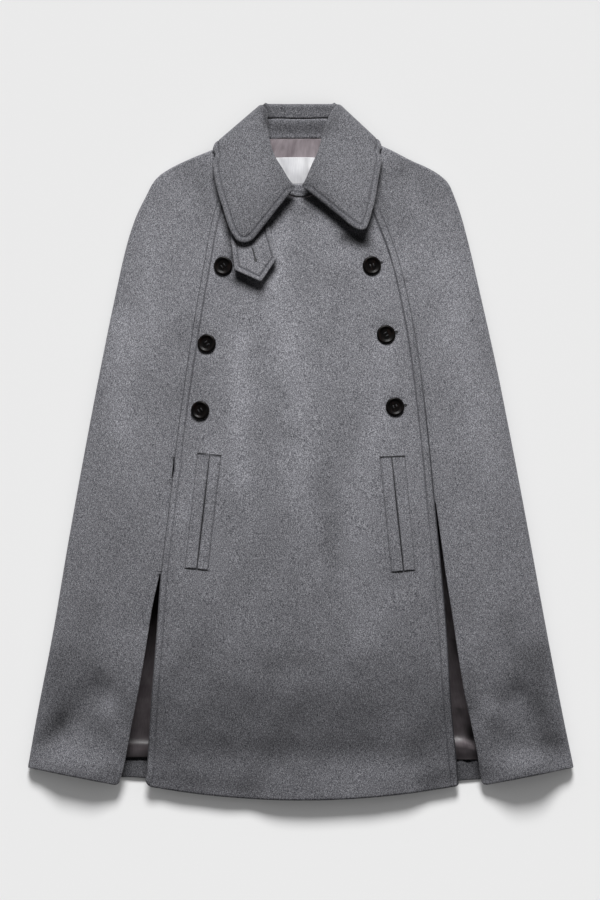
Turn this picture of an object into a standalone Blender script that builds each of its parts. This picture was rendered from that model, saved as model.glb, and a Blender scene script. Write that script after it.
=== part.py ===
"""A wool cape coat laid flat on its back, front side up, as separate closed cloth solids.

Every size below is in millimetres; the meshes are scaled to metres when they are made.
"Up" is the distance from the lowest point of the hem towards the back fold of the collar,
which becomes +Y.  X runs across the coat and +Z leaves the surface that the coat lies on.
The origin is the centre of the bounding box's underside.
"""
import math
from typing import NamedTuple

import bpy
import numpy as np

MM = 0.001

# Driving sizes of the whole coat
LENGTH = 893.0            # hem to back fold of the collar
WOOL = 2.4                # one layer of melton
COLLAR_WALL = 3.4         # two pressed layers of melton
STAND_WALL = 3.0
LINING_WALL = 1.0
SEAM_GAP = 0.3            # between pieces that are sewn edge to edge
LAY_GAP = 0.6             # between pieces that lie on each other
FOLD_SAMPLES = 140        # straight steps that stand for a side fold when distances are taken
ROLL_RADIUS = 4.6         # outside radius of the collar's roll

# The back fall of the collar lies under the back panel, which climbs over it
FALL_LIFT = 4.8
FALL_EDGE_UP = 813.0
FALL_EDGE_CURVE = 14.0
FALL_HALF_WIDTH = 113.0
FALL_RAMP = (-42.0, -5.0)  # the climb starts and ends this far from the fall's edge
FALL_SIDE_RAMP = (130.0, 172.0)


class EdgeRow(NamedTuple):
    """Where an edge crosses one level: x on the minus side and on the plus side."""
    up: float
    minus_x: float
    plus_x: float


class HeightRow(NamedTuple):
    """Height of the coat's middle at a distance above its hem."""
    above_hem: float
    height: float


class FoldRow(NamedTuple):
    """Outside radius of the fold along the sides and the shoulders, by level."""
    up: float
    radius: float


class RiseRow(NamedTuple):
    """Distance from the side fold over which the coat reaches its height, by level."""
    up: float
    width: float


class HemRow(NamedTuple):
    """Level of the hem at a distance from the middle."""
    across: float
    up: float


class LevelRow(NamedTuple):
    """A row of a cape wing: its level on the front edge and on the side fold."""
    front_up: float
    fold_up: float


class EdgePoint(NamedTuple):
    """One point of a wing's front edge."""
    up: float
    x: float


class CollarRow(NamedTuple):
    """One section of the collar, from its roll to its free edge, and where it meets the neck."""
    roll_x: float
    roll_up: float
    roll_z: float
    edge_x: float
    edge_up: float
    edge_z: float
    neck_x: float
    neck_up: float
    neck_z: float
    lean: float           # 90 lies on the front, 0 stands at the side, -90 lies behind
    turn: float           # length turned in past the roll


class CollarTurn(NamedTuple):
    """Where the collar passes round the side of the neck: its outermost points in plan."""
    roll_x: float
    roll_up: float
    edge_x: float
    edge_up: float
    neck_x: float         # centre of the small turn of the stand at the side of the neck
    neck_up: float


class WeltRow(NamedTuple):
    """A pocket welt's four corners, as x and up, from the pocket's mouth outwards."""
    name: str
    top_mouth: tuple
    top_outer: tuple
    low_mouth: tuple
    low_outer: tuple


class ButtonRow(NamedTuple):
    name: str
    x: float
    up: float


class TabRow(NamedTuple):
    """A row of the throat tab: both side edges and the height of its underside over the coat."""
    left_x: float
    left_up: float
    right_x: float
    right_up: float
    lift: float


FRONT_EDGES = (
    EdgeRow(18.0, -198.7, 202.0),
    EdgeRow(51.0, -195.7, 199.5),
    EdgeRow(122.0, -190.5, 193.5),
    EdgeRow(205.0, -184.9, 188.5),
    EdgeRow(288.0, -179.5, 181.0),
    EdgeRow(371.0, -168.9, 173.1),
    EdgeRow(474.0, -156.7, 162.3),
    EdgeRow(576.0, -142.2, 149.7),
    EdgeRow(640.0, -131.9, 138.1),
    EdgeRow(691.0, -122.9, 125.6),
    EdgeRow(736.0, -114.8, 109.7),
    EdgeRow(768.0, -105.9, 95.6),
    EdgeRow(793.0, -93.7, 81.7),
    EdgeRow(813.0, -82.2, 71.4),
    EdgeRow(832.0, -64.3, 61.2),
)

SIDE_FOLDS = (
    EdgeRow(42.0, -349.1, 349.2),
    EdgeRow(102.0, -338.5, 336.7),
    EdgeRow(217.0, -316.4, 314.5),
    EdgeRow(333.0, -296.8, 293.3),
    EdgeRow(448.0, -276.0, 271.6),
    EdgeRow(550.0, -256.6, 251.4),
    EdgeRow(640.0, -238.3, 231.4),
    EdgeRow(717.0, -220.6, 213.5),
    EdgeRow(750.0, -209.2, 204.4),
    EdgeRow(773.0, -197.7, 196.2),
    EdgeRow(788.5, -189.7, 189.2),
    EdgeRow(799.0, -180.7, 178.9),
    EdgeRow(809.0, -165.4, 162.3),
    EdgeRow(819.0, -146.2, 141.8),
    EdgeRow(832.0, -112.9, 114.9),
    EdgeRow(854.0, -59.1, 61.8),
)

# Pressed flat along the hem band and round over the cape's loose sides
FOLD_RADII = (
    FoldRow(42.0, 4.5),
    FoldRow(76.0, 4.8),
    FoldRow(135.0, 8.5),
    FoldRow(560.0, 8.0),
    FoldRow(700.0, 5.0),
    FoldRow(760.0, 4.5),
)
# The stiff hems of the wings stand up close to their folds; higher up the cloth slopes slowly
RISE_WIDTHS = (
    RiseRow(42.0, 55.0),
    RiseRow(80.0, 68.0),
    RiseRow(150.0, 135.0),
    RiseRow(220.0, 180.0),
)

MIDDLE_HEIGHTS = (
    HeightRow(0.0, 22.0),
    HeightRow(30.0, 23.0),
    HeightRow(60.0, 27.5),
    HeightRow(90.0, 35.5),
    HeightRow(125.0, 45.0),
    HeightRow(160.0, 52.0),
    HeightRow(200.0, 56.5),
    HeightRow(260.0, 59.5),
    HeightRow(380.0, 61.0),
    HeightRow(500.0, 60.0),
    HeightRow(600.0, 57.0),
    HeightRow(700.0, 51.0),
    HeightRow(780.0, 46.0),
    HeightRow(860.0, 40.0),
)

HEM_LEVELS = (
    HemRow(0.0, 0.0),
    HemRow(70.0, 1.8),
    HemRow(130.0, 7.0),
    HemRow(200.0, 18.5),
    HemRow(235.0, 21.0),
    HemRow(290.0, 30.0),
    HemRow(350.0, 42.0),
)

BACK_HEM_RISE = 10.0      # the back's hem ends this far above the front's

# Levels of the rows of the overlapping front, at its side edges
FRONT_LEVELS = (18.5, 34, 50, 70, 90, 110, 132, 160, 195, 235, 278, 330, 370, 403, 411,
                424, 438, 446, 470, 510, 560, 610, 660, 681, 700, 716, 736, 768, 793, 803, 813, 832)
FRONT_COLUMNS = 17
HEM_DIP = 18.5            # the hem hangs this far below its corners in the middle
HEM_DIP_FADE = 200.0
NECK_DIP = 62.0           # the neckline dips this far below its ends in the middle
NECK_DIP_FADE = 240.0
NECK_HALF_WIDTH = 62.0
NECK_CURVE_POWER = 2.2

WING_LEVELS = (
    LevelRow(832.0, 853.9),
    LevelRow(813.0, 838.0),
    LevelRow(803.0, 831.0),
    LevelRow(793.0, 824.0),
    LevelRow(768.0, 806.0),
    LevelRow(736.0, 789.0),
    LevelRow(716.0, 779.0),
    LevelRow(700.0, 768.0),
    LevelRow(681.0, 753.0),
    LevelRow(660.0, 735.0),
    LevelRow(610.0, 680.0),
    LevelRow(560.0, 610.0),
    LevelRow(510.0, 545.0),
    LevelRow(470.0, 492.0),
    LevelRow(446.0, 464.0),
    LevelRow(438.0, 455.0),
    LevelRow(424.0, 440.0),
    LevelRow(411.0, 426.0),
    LevelRow(403.0, 417.0),
    LevelRow(380.0, 392.0),
    LevelRow(330.0, 341.0),
    LevelRow(300.0, 311.0),
    LevelRow(292.0, 303.0),
    LevelRow(286.5, 297.5),
    LevelRow(240.0, 252.0),
    LevelRow(190.0, 204.0),
    LevelRow(140.0, 157.0),
    LevelRow(100.0, 120.0),
    LevelRow(60.0, 81.0),
    LevelRow(40.0, 61.0),
    LevelRow(21.0, 42.0),
)
WING_TOP_COLUMNS = (0.0, 0.09, 0.22, 0.36, 0.5, 0.64, 0.78, 0.9, 1.0)
FOLD_ANGLES = (45.0, 0.0, -45.0, -90.0)   # points round the side fold, after its crest
UNDER_RETURN = 55.0       # length of the wing's return under the coat, to the back seam
UNDER_RETURN_SHARE = 0.75  # and at most this share of the wing's width
RETURN_COLUMNS = (0.5, 1.0)

# How far a wing's front edge reaches under the overlapping front, by level
MINUS_WING_LAPS = (
    EdgePoint(292.0, 8.0),
    EdgePoint(403.0, 8.0),
    EdgePoint(411.0, -2.6),
    EdgePoint(438.0, -2.6),
    EdgePoint(446.0, 8.0),
    EdgePoint(736.0, 8.0),
    EdgePoint(832.0, 3.0),
)
PLUS_WING_LAPS = (
    EdgePoint(403.0, 12.0),
    EdgePoint(736.0, 12.0),
    EdgePoint(832.0, 3.0),
)

# Free front edges of the wings along the slits
MINUS_SLIT = (
    EdgePoint(21.0, -231.3),
    EdgePoint(54.4, -223.5),
    EdgePoint(92.2, -216.6),
    EdgePoint(130.6, -208.9),
    EdgePoint(170.2, -201.9),
    EdgePoint(209.3, -196.1),
    EdgePoint(248.3, -190.2),
    EdgePoint(286.5, -181.0),
)
PLUS_SLIT = (
    EdgePoint(20.5, 233.7),
    EdgePoint(52.5, 226.8),
    EdgePoint(101.1, 218.0),
    EdgePoint(140.8, 210.2),
    EdgePoint(189.4, 202.4),
    EdgePoint(238.1, 195.5),
    EdgePoint(293.1, 185.3),
    EdgePoint(330.2, 180.1),
    EdgePoint(380.0, 172.9),
)

UNDER_FRONT_REACH = 0.6   # share of the half width that the hidden front covers past the middle
UNDER_FRONT_COLUMNS = 11
UNDER_FRONT_DROP = 0.5    # it lies this far under the level of the wings

BACK_COLUMNS = 9
LINING_HEM_UP = 52.0      # the lining's hem hangs this far above the coat's lowest point
LINING_INSET = 4.0        # and its sides this far inside the back's seams
LINING_NECK_RISE = 4.0    # the lining reaches past its inset to the stand's seam
LINING_NECK_FADE = 40.0
BACK_NECK_RISE = 8.5      # the back neckline stands this far above its ends
BACK_NECK_FADE = 60.0
NECK_FLATNESS = 8         # power that keeps the back neckline nearly straight
NECK_SPLIT = 3            # rows of the back between two rows of the wings, near the neck
NECK_SPLIT_ROWS = 5

FRONT_LEAN = 90           # lean of a section whose leaf lies on the front
COLLAR_BULGE = 2.5        # crown of a leaf between its roll and its edge
LEAF_STEPS = (0.22, 0.45, 0.72, 1.0)
ROLL_ANGLES = (90.0, 45.0, 0.0, -45.0, -90.0)

# From the throat over the leaf, round the side of the neck and behind it to the middle
MINUS_COLLAR = (
    CollarRow(-7.0, 784.5, 57.0, -63.0, 718.0, 62.5, -11.0, 772.6, 39.0, 90, 12),
    CollarRow(-8.5, 787.0, 57.3, -69.0, 714.8, 63.2, -14.0, 773.6, 39.0, 90, 12),
    CollarRow(-10.5, 790.0, 57.5, -75.5, 713.8, 63.5, -18.0, 775.6, 38.5, 90, 12),
    CollarRow(-13.0, 793.0, 57.4, -80.8, 715.6, 63.2, -22.0, 778.0, 38.0, 90, 12),
    CollarRow(-16.0, 797.0, 57.0, -84.8, 719.8, 62.5, -27.0, 781.0, 37.0, 90, 12),
    CollarRow(-24.0, 809.0, 55.0, -91.5, 732.0, 60.0, -36.0, 790.5, 34.0, 90, 12),
    CollarRow(-31.0, 820.0, 51.0, -98.0, 752.6, 54.0, -43.0, 801.0, 30.5, 90, 12),
    CollarRow(-37.0, 834.0, 45.0, -104.6, 773.0, 45.0, -49.5, 814.5, 25.5, 90, 12),
    CollarRow(-40.0, 848.0, 38.0, -109.4, 793.0, 37.0, -54.5, 829.0, 20.5, 90, 12),
    CollarRow(-42.0, 866.0, 29.0, -112.3, 812.0, 28.0, -56.0, 843.0, 16.5, 90, 12),
)
MINUS_COLLAR_BACK = (
    CollarRow(-41.0, 893.0, 0.0, -80.0, 819.0, 0.0, -41.0, 847.2, 6.3, -90, 19.5),
    CollarRow(-22.0, 893.0, 0.0, -44.0, 815.5, 0.0, -22.0, 846.9, 6.3, -90, 19),
)
MINUS_TURN = CollarTurn(-49.5, 892.5, -113.0, 839.5, -52.0, 853.0)
MIDDLE_COLLAR = (
    CollarRow(0.0, 893.0, 0.0, 0.0, 813.0, 0.0, 0.0, 846.6, 6.3, -90, 19),
)
PLUS_COLLAR = (
    CollarRow(4.0, 785.0, 57.0, 63.0, 738.0, 62.5, 9.0, 772.2, 39.0, 90, 12),
    CollarRow(5.5, 788.0, 57.3, 71.0, 732.0, 63.2, 13.0, 773.4, 39.0, 90, 12),
    CollarRow(7.5, 791.5, 57.5, 78.0, 729.6, 63.5, 18.0, 775.6, 38.5, 90, 12),
    CollarRow(9.5, 796.0, 57.2, 83.0, 731.6, 62.8, 22.0, 778.0, 38.0, 90, 12),
    CollarRow(12.0, 801.0, 56.5, 86.4, 737.3, 61.5, 27.0, 781.0, 37.0, 90, 12),
    CollarRow(18.0, 814.0, 53.0, 91.1, 752.6, 56.5, 37.0, 791.6, 33.5, 90, 12),
    CollarRow(24.0, 827.0, 47.0, 95.2, 768.6, 49.5, 44.5, 803.5, 29.5, 90, 12),
    CollarRow(28.0, 841.0, 40.0, 98.6, 789.8, 40.5, 50.0, 816.5, 24.5, 90, 12),
    CollarRow(31.0, 856.0, 33.0, 101.8, 807.0, 32.5, 53.5, 829.0, 20.5, 90, 12),
    CollarRow(35.0, 870.0, 26.5, 104.2, 820.0, 26.5, 55.5, 841.0, 17.0, 90, 12),
)
PLUS_COLLAR_BACK = (
    CollarRow(40.0, 893.0, 0.0, 76.0, 820.0, 0.0, 40.0, 847.2, 6.3, -90, 19.5),
    CollarRow(22.0, 893.0, 0.0, 44.0, 815.5, 0.0, 22.0, 846.9, 6.3, -90, 19),
)
PLUS_TURN = CollarTurn(47.5, 892.7, 105.2, 843.0, 51.5, 853.0)
TURN_ANGLES = (90.0, 45.0, 0.0, -45.0, -90.0)
TURN_ROLL_RADIUS = 11.0   # half the collar's height where it passes round the neck, at its roll
TURN_EDGE_RADIUS = 10.5
TURN_NECK_RADIUS = 2.2
TURN_NECK_Z = 9.0
TURN_SLIDE = 8.0          # the edge runs on this far above and below the turn
TURN_LENGTH = 13.0
STAND_START = 4           # the stand begins this many sections from each throat end

# The end of the stand that closes the throat
BAND_HALF_WIDTH = 21.0
BAND_MIDDLE_X = 3.0
BAND_LOW_UP = 770.8
BAND_HIGH_UP = 787.0
BAND_WALL = 3.0
BAND_COLUMNS = 7
BAND_ROWS = 4

WELTS = (
    WeltRow("welt_minus_x_outer", (-116.6, 441.3), (-131.7, 444.2), (-132.9, 296.9), (-148.0, 297.5)),
    WeltRow("welt_minus_x_inner", (-115.4, 441.2), (-101.0, 441.0), (-131.7, 296.4), (-118.0, 294.7)),
    WeltRow("welt_plus_x_inner", (115.2, 439.3), (100.5, 439.3), (130.6, 295.1), (115.2, 291.7)),
    WeltRow("welt_plus_x_outer", (116.4, 439.3), (133.1, 440.6), (131.8, 295.1), (146.3, 294.3)),
)
WELT_ROWS = 8
WELT_WALL = 2.0

BUTTONS = (
    ButtonRow("button_minus_x_upper", -98.6, 682.8),
    ButtonRow("button_minus_x_middle", -119.3, 583.7),
    ButtonRow("button_minus_x_lower", -127.6, 498.6),
    ButtonRow("button_plus_x_upper", 91.3, 683.2),
    ButtonRow("button_plus_x_middle", 109.8, 595.9),
    ButtonRow("button_plus_x_lower", 121.3, 503.1),
)
BUTTON_RADIUS = 12.0
BUTTON_SEAT = 0.5         # height of the button's underside over the cloth, on its thread
BUTTON_SEGMENTS = 24
# Radius and height of each ring, from the underside over the rim into the dish
BUTTON_PROFILE = ((9.6, 0.0), (11.7, 1.54), (12.0, 2.64), (11.05, 4.4), (10.1, 4.0), (6.06, 3.1))

TAB_ROWS = (
    TabRow(-82.2, 678.0, -31.5, 693.0, 10.5),
    TabRow(-86.2, 702.0, -34.5, 708.0, 5.0),
    TabRow(-89.6, 722.0, -38.5, 725.0, 2.0),
    TabRow(-90.5, 742.0, -43.0, 745.0, 1.0),
    TabRow(-88.0, 758.0, -47.0, 762.0, 1.0),
)
TAB_POINT = 24.0          # how far the tip stands out past the corners
TAB_WALL = 3.2
TAB_COLUMNS = 7

LABEL_X = (-46.0, 36.0)
LABEL_UP = (776.0, 821.0)
LABEL_WALL = 1.0
LABEL_COLUMNS = 5
LABEL_ROWS = 8

SMOOTH_ANGLE = 40.0       # edges sharper than this stay sharp

MATERIALS = {
    "wool": ((0.160, 0.158, 0.168, 1.0), 0.95),
    "lining": ((0.065, 0.057, 0.060, 1.0), 0.45),
    "label": ((0.72, 0.72, 0.73, 1.0), 0.4),
    "button": ((0.012, 0.011, 0.011, 1.0), 0.22),
}


def curve(table, position):
    """Read a smooth value from a table of (position, value) pairs without overshoot.

    Piecewise cubic with the slopes limited to those of the neighbouring rows.
    """
    places = np.array([row[0] for row in table], dtype=float)
    values = np.array([row[1] for row in table], dtype=float)
    steps = np.diff(places)
    slopes = np.diff(values) / steps
    tangents = np.zeros(len(places))
    tangents[0], tangents[-1] = slopes[0], slopes[-1]
    for i in range(1, len(places) - 1):
        if slopes[i - 1] * slopes[i] > 0.0:
            before = 2.0 * steps[i] + steps[i - 1]
            after = steps[i] + 2.0 * steps[i - 1]
            tangents[i] = (before + after) / (before / slopes[i - 1] + after / slopes[i])
    position = np.clip(np.asarray(position, dtype=float), places[0], places[-1])
    i = np.clip(np.searchsorted(places, position, side="right") - 1, 0, len(steps) - 1)
    t = (position - places[i]) / steps[i]
    return ((1 + 2 * t) * (1 - t) ** 2 * values[i] + t * (1 - t) ** 2 * steps[i] * tangents[i]
            + t * t * (3 - 2 * t) * values[i + 1] - t * t * (1 - t) * steps[i] * tangents[i + 1])


def front_edge_x(side, up):
    """X of the overlapping front's edge on one side (-1 or +1)."""
    column = 1 if side < 0 else 2
    return curve([(row[0], row[column]) for row in FRONT_EDGES], up)


def side_fold_x(side, up):
    """X of the side and shoulder fold on one side (-1 or +1)."""
    column = 1 if side < 0 else 2
    return curve([(row[0], row[column]) for row in SIDE_FOLDS], up)


def fold_distance(x, up):
    """Distance in plan from a point to the nearer side fold."""
    point = np.stack(np.broadcast_arrays(np.asarray(x, float), np.asarray(up, float)), axis=-1)
    nearest = np.full(point.shape[:-1], np.inf)
    levels = np.linspace(SIDE_FOLDS[0].up, SIDE_FOLDS[-1].up, FOLD_SAMPLES)
    for side in (-1, 1):
        line = np.stack([side_fold_x(side, levels), levels], axis=-1)
        for start, end in zip(line[:-1], line[1:]):
            along = end - start
            share = np.clip(((point - start) @ along) / (along @ along), 0.0, 1.0)
            gap = point - start - share[..., None] * along
            nearest = np.minimum(nearest, np.hypot(gap[..., 0], gap[..., 1]))
    return nearest


def fold_radius(up):
    """Outside radius of the side and shoulder folds at a level."""
    return curve(FOLD_RADII, up)


def smooth_step(value, low, high):
    """Go smoothly from 0 at low to 1 at high."""
    share = np.clip((value - low) / (high - low), 0.0, 1.0)
    return share * share * (3.0 - 2.0 * share)


def ground(x, up):
    """Height of the coat's lowest wool layer, which climbs over the collar's back fall."""
    across = np.abs(np.asarray(x, float))
    fall_edge = FALL_EDGE_UP + FALL_EDGE_CURVE * np.minimum(across / FALL_HALF_WIDTH, 1.0) ** 2
    climb = smooth_step(up, fall_edge + FALL_RAMP[0], fall_edge + FALL_RAMP[1])
    return FALL_LIFT * climb * (1.0 - smooth_step(across, *FALL_SIDE_RAMP))


def coat_height(x, up):
    """Top of the wings and of the hidden front: the surface the overlapping front lies on."""
    above_hem = up - curve(HEM_LEVELS, np.abs(x))
    middle = curve(MIDDLE_HEIGHTS, above_hem)
    radius = fold_radius(up)
    reach = np.clip((fold_distance(x, up) - radius) / curve(RISE_WIDTHS, up), 0.0, 1.0)
    low = ground(x, up) + 2.0 * radius
    return low + np.maximum(middle - low, 0.0) * (1.0 - (1.0 - reach) ** 2)


def front_top(x, up):
    """Top of the overlapping front."""
    return coat_height(x, up) + LAY_GAP + WOOL


def place(x, up, z):
    """A point in millimetres in the part's frame."""
    x, up, z = np.broadcast_arrays(np.asarray(x, float), np.asarray(up, float), np.asarray(z, float))
    return np.stack([x, up - LENGTH / 2.0, z], axis=-1)


def material(name):
    """The plain material of that name, made once."""
    found = bpy.data.materials.get(name)
    if found:
        return found
    colour, roughness = MATERIALS[name]
    made = bpy.data.materials.new(name)
    made.use_nodes = True
    shader = made.node_tree.nodes["Principled BSDF"]
    shader.inputs["Base Color"].default_value = colour
    shader.inputs["Roughness"].default_value = roughness
    shader.inputs["Metallic"].default_value = 0.0
    made.diffuse_color = colour
    return made


def add_solid(name, vertices, faces, material_name):
    """Make one object from vertices in millimetres, with its faces pointing outwards."""
    points = np.asarray(vertices, dtype=float)
    volume = 0.0
    for face in faces:
        first = points[face[0]]
        for second, third in zip(face[1:-1], face[2:]):
            volume += first @ np.cross(points[second], points[third])
    if volume < 0.0:
        faces = [tuple(reversed(face)) for face in faces]
    mesh = bpy.data.meshes.new(name)
    mesh.from_pydata((points * MM).tolist(), [], faces)
    mesh.validate()
    mesh.shade_smooth()
    mesh.set_sharp_from_angle(angle=math.radians(SMOOTH_ANGLE))
    mesh.materials.append(material(material_name))
    made = bpy.data.objects.new(name, mesh)
    bpy.context.collection.objects.link(made)
    return made


def wall(name, outer, inner, material_name):
    """Close the space between two grids of points, (rows, columns, 3), into one solid."""
    rows, columns = outer.shape[:2]
    count = rows * columns
    faces = []
    for i in range(rows - 1):
        for j in range(columns - 1):
            corner = i * columns + j
            quad = (corner, corner + 1, corner + columns + 1, corner + columns)
            faces.append(quad)
            faces.append(tuple(count + index for index in reversed(quad)))
    rim = [j for j in range(columns)]
    rim += [i * columns + columns - 1 for i in range(1, rows)]
    rim += [(rows - 1) * columns + j for j in range(columns - 2, -1, -1)]
    rim += [i * columns for i in range(rows - 2, 0, -1)]
    for here, after in zip(rim, rim[1:] + rim[:1]):
        faces.append((after, here, count + here, count + after))
    vertices = np.concatenate([outer.reshape(-1, 3), inner.reshape(-1, 3)])
    return add_solid(name, vertices, faces, material_name)


def layer(name, x, up, under_z, thickness, material_name):
    """A wall over a grid of plan points, from its underside up."""
    under = place(x, up, under_z)
    top = place(x, up, np.asarray(under_z) + thickness)
    return wall(name, top, under, material_name)


def front_plan(columns, left_share, right_x=None):
    """Plan grid of a front panel: rows from the hem to the neckline.

    Args:
        columns: number of points across.
        left_share: share of the half width on the minus side where the panel ends.
        right_x: function of the level that gives the plus side's edge, or None for
            the overlapping front's own edge.
    """
    levels = np.array(FRONT_LEVELS, float)[:, None]
    left = front_edge_x(-1, levels)
    right = front_edge_x(1, levels)
    end = right if right_x is None else right_x(levels)
    start = left * left_share
    x = start + (end - start) * np.linspace(0.0, 1.0, columns)[None, :]
    across = np.clip(x / np.where(x < 0.0, left, right), -1.0, 1.0)
    hem_fade = 1.0 - smooth_step(levels, levels[0, 0], levels[0, 0] + HEM_DIP_FADE)
    neck_fade = smooth_step(levels, levels[-1, 0] - NECK_DIP_FADE, levels[-1, 0])
    dip = HEM_DIP * hem_fade * (1.0 - np.abs(across) ** 2)
    dip = dip + NECK_DIP * neck_fade * (1.0 - np.abs(across) ** NECK_CURVE_POWER)
    return x, levels - dip


def plus_wing_edge_x(up):
    """The plus wing's front edge: lapped under the front above, a free slit edge below."""
    lapped = front_edge_x(1, up) - curve(PLUS_WING_LAPS, up)
    free = curve(PLUS_SLIT, up)
    return np.where(np.asarray(up) >= PLUS_WING_LAPS[0].up, lapped, free)


def minus_wing_edge_x(up):
    """The minus wing's front edge, with the short open stretch of its arm slit."""
    lapped = front_edge_x(-1, up) + curve(MINUS_WING_LAPS, up)
    return np.where(np.asarray(up) >= MINUS_WING_LAPS[0].up, lapped, curve(MINUS_SLIT, up))


def build_fronts():
    """The overlapping front and the plain front hidden under it."""
    x, up = front_plan(FRONT_COLUMNS, 1.0)
    layer("front_over", x, up, coat_height(x, up) + LAY_GAP, WOOL, "wool")

    def hidden_edge(levels):
        return front_edge_x(1, levels) - curve(PLUS_WING_LAPS, levels) - SEAM_GAP

    x, up = front_plan(UNDER_FRONT_COLUMNS, UNDER_FRONT_REACH, hidden_edge)
    under = coat_height(x, up) - UNDER_FRONT_DROP - WOOL
    layer("front_under", x, up, under, WOOL, "wool")


def wing_rows(side):
    """Plan points of a wing's rows: front edge, side fold, back seam."""
    rows = []
    for level in WING_LEVELS:
        edge = plus_wing_edge_x if side > 0 else minus_wing_edge_x
        front = np.array([float(edge(level.front_up)), level.front_up])
        fold = np.array([float(side_fold_x(side, level.fold_up)), level.fold_up])
        inward = front - fold
        width = np.hypot(*inward)
        inward = inward / width
        seam = fold + inward * min(UNDER_RETURN, UNDER_RETURN_SHARE * width)
        rows.append((front, fold, seam, inward))
    return rows


def build_wing(name, side):
    """A cape wing: from its front edge over the side fold to the back seam underneath."""
    outer, inner = [], []
    for front, fold, seam, inward in wing_rows(side):
        radius = float(fold_radius(fold[1]))
        crest = fold + inward * radius
        floor = float(ground(*crest))
        outer_row, inner_row = [], []
        for share in WING_TOP_COLUMNS:
            x, up = front + (crest - front) * share
            top = float(coat_height(x, up))
            outer_row.append(place(x, up, top))
            inner_row.append(place(x, up, top - WOOL))
        for degrees in FOLD_ANGLES:
            angle = math.radians(degrees)
            for row, reach in ((outer_row, radius), (inner_row, radius - WOOL)):
                x, up = crest - inward * reach * math.cos(angle)
                row.append(place(x, up, floor + radius + reach * math.sin(angle)))
        for share in RETURN_COLUMNS:
            x, up = crest + (seam - crest) * share
            low = float(ground(x, up))
            outer_row.append(place(x, up, low))
            inner_row.append(place(x, up, low + WOOL))
        outer.append(outer_row)
        inner.append(inner_row)
    wall(name, np.array(outer), np.array(inner), "wool")


def split_rows(points):
    """Put more rows between the first ones, near the neck, on the same straight lines."""
    rows = []
    for i, (start, end) in enumerate(zip(points[:-1], points[1:])):
        parts = NECK_SPLIT if i < NECK_SPLIT_ROWS else 1
        rows += [start + (end - start) * k / parts for k in range(parts)]
    return np.array(rows + [points[-1]])


def back_plan(inset):
    """Plan grid of the back between the two wings' back seams, rows from neck to hem."""
    minus = split_rows([seam + inward * inset for _, _, seam, inward in wing_rows(-1)])
    plus = split_rows([seam + inward * inset for _, _, seam, inward in wing_rows(1)])
    share = np.linspace(0.0, 1.0, BACK_COLUMNS)[None, :, None]
    grid = minus[:, None] + (plus - minus)[:, None] * share
    x, up = grid[..., 0], grid[..., 1]
    across = np.abs(2.0 * share[..., 0] - 1.0)
    top, bottom = up[0].max(), up[-1].max()
    neck_fade = smooth_step(up, top - BACK_NECK_FADE, top)
    hem_fade = 1.0 - smooth_step(up, bottom, bottom + HEM_DIP_FADE)
    hem_middle = bottom - BACK_HEM_RISE
    up = up + BACK_NECK_RISE * neck_fade * (1.0 - across ** NECK_FLATNESS)
    up = up - hem_middle * hem_fade * (1.0 - across ** 2)
    return x, up


def build_back():
    """The back panel on the ground and its lining above it."""
    x, up = back_plan(SEAM_GAP)
    layer("back", x, up, ground(x, up), WOOL, "wool")
    x, up = lining_plan()
    layer("back_lining", x, up, ground(x, up) + WOOL + LAY_GAP, LINING_WALL, "lining")


def lining_plan():
    """Plan grid of the back lining, which stops above the hem."""
    x, up = back_plan(LINING_INSET)
    low, high = up[-1], up[0]
    raise_by = np.maximum(LINING_HEM_UP - low, 0.0)[None, :]
    fade = 1.0 - smooth_step(up, low[None, :], low[None, :] + HEM_DIP_FADE)
    near_neck = smooth_step(up, high[None, :] - LINING_NECK_FADE, high[None, :])
    return x, up + raise_by * fade + LINING_NECK_RISE * near_neck


def section_frame(row):
    """The three directions of a collar section: along it, and towards the stand."""
    roll = place(row.roll_x, row.roll_up, row.roll_z)
    edge = place(row.edge_x, row.edge_up, row.edge_z)
    span = np.linalg.norm(edge - roll)
    along = (edge - roll) / span
    lean = math.radians(row.lean)
    plan = np.array([along[0], along[1]]) / np.hypot(along[0], along[1])
    inward = np.array([-plan[1], plan[0]])
    if inward[1] > 0.0:
        inward = -inward
    toward = np.array([*(inward * math.cos(lean)), -math.sin(lean)])
    toward = toward - (toward @ along) * along
    return roll, along, toward / np.linalg.norm(toward), span


def collar_section(row):
    """Outer and inner points of one section of the fall, from its turned end to its edge."""
    roll, along, toward, span = section_frame(row)

    def at(reach, depth):
        return roll + along * reach + toward * depth

    radius, thin = ROLL_RADIUS, ROLL_RADIUS - COLLAR_WALL
    outer = [at(row.turn, 2 * radius)]
    inner = [at(row.turn, 2 * radius - COLLAR_WALL)]
    for degrees in ROLL_ANGLES:
        angle = math.radians(degrees)
        outer.append(at(radius - radius * math.cos(angle), radius + radius * math.sin(angle)))
        inner.append(at(radius - thin * math.cos(angle), radius + thin * math.sin(angle)))
    for share in LEAF_STEPS:
        reach = radius + (span - radius) * share
        bulge = -COLLAR_BULGE * 4.0 * share * (1.0 - share) if row.lean == FRONT_LEAN else 0.0
        outer.append(at(reach, bulge))
        inner.append(at(reach, bulge + COLLAR_WALL))
    return outer, inner


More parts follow.
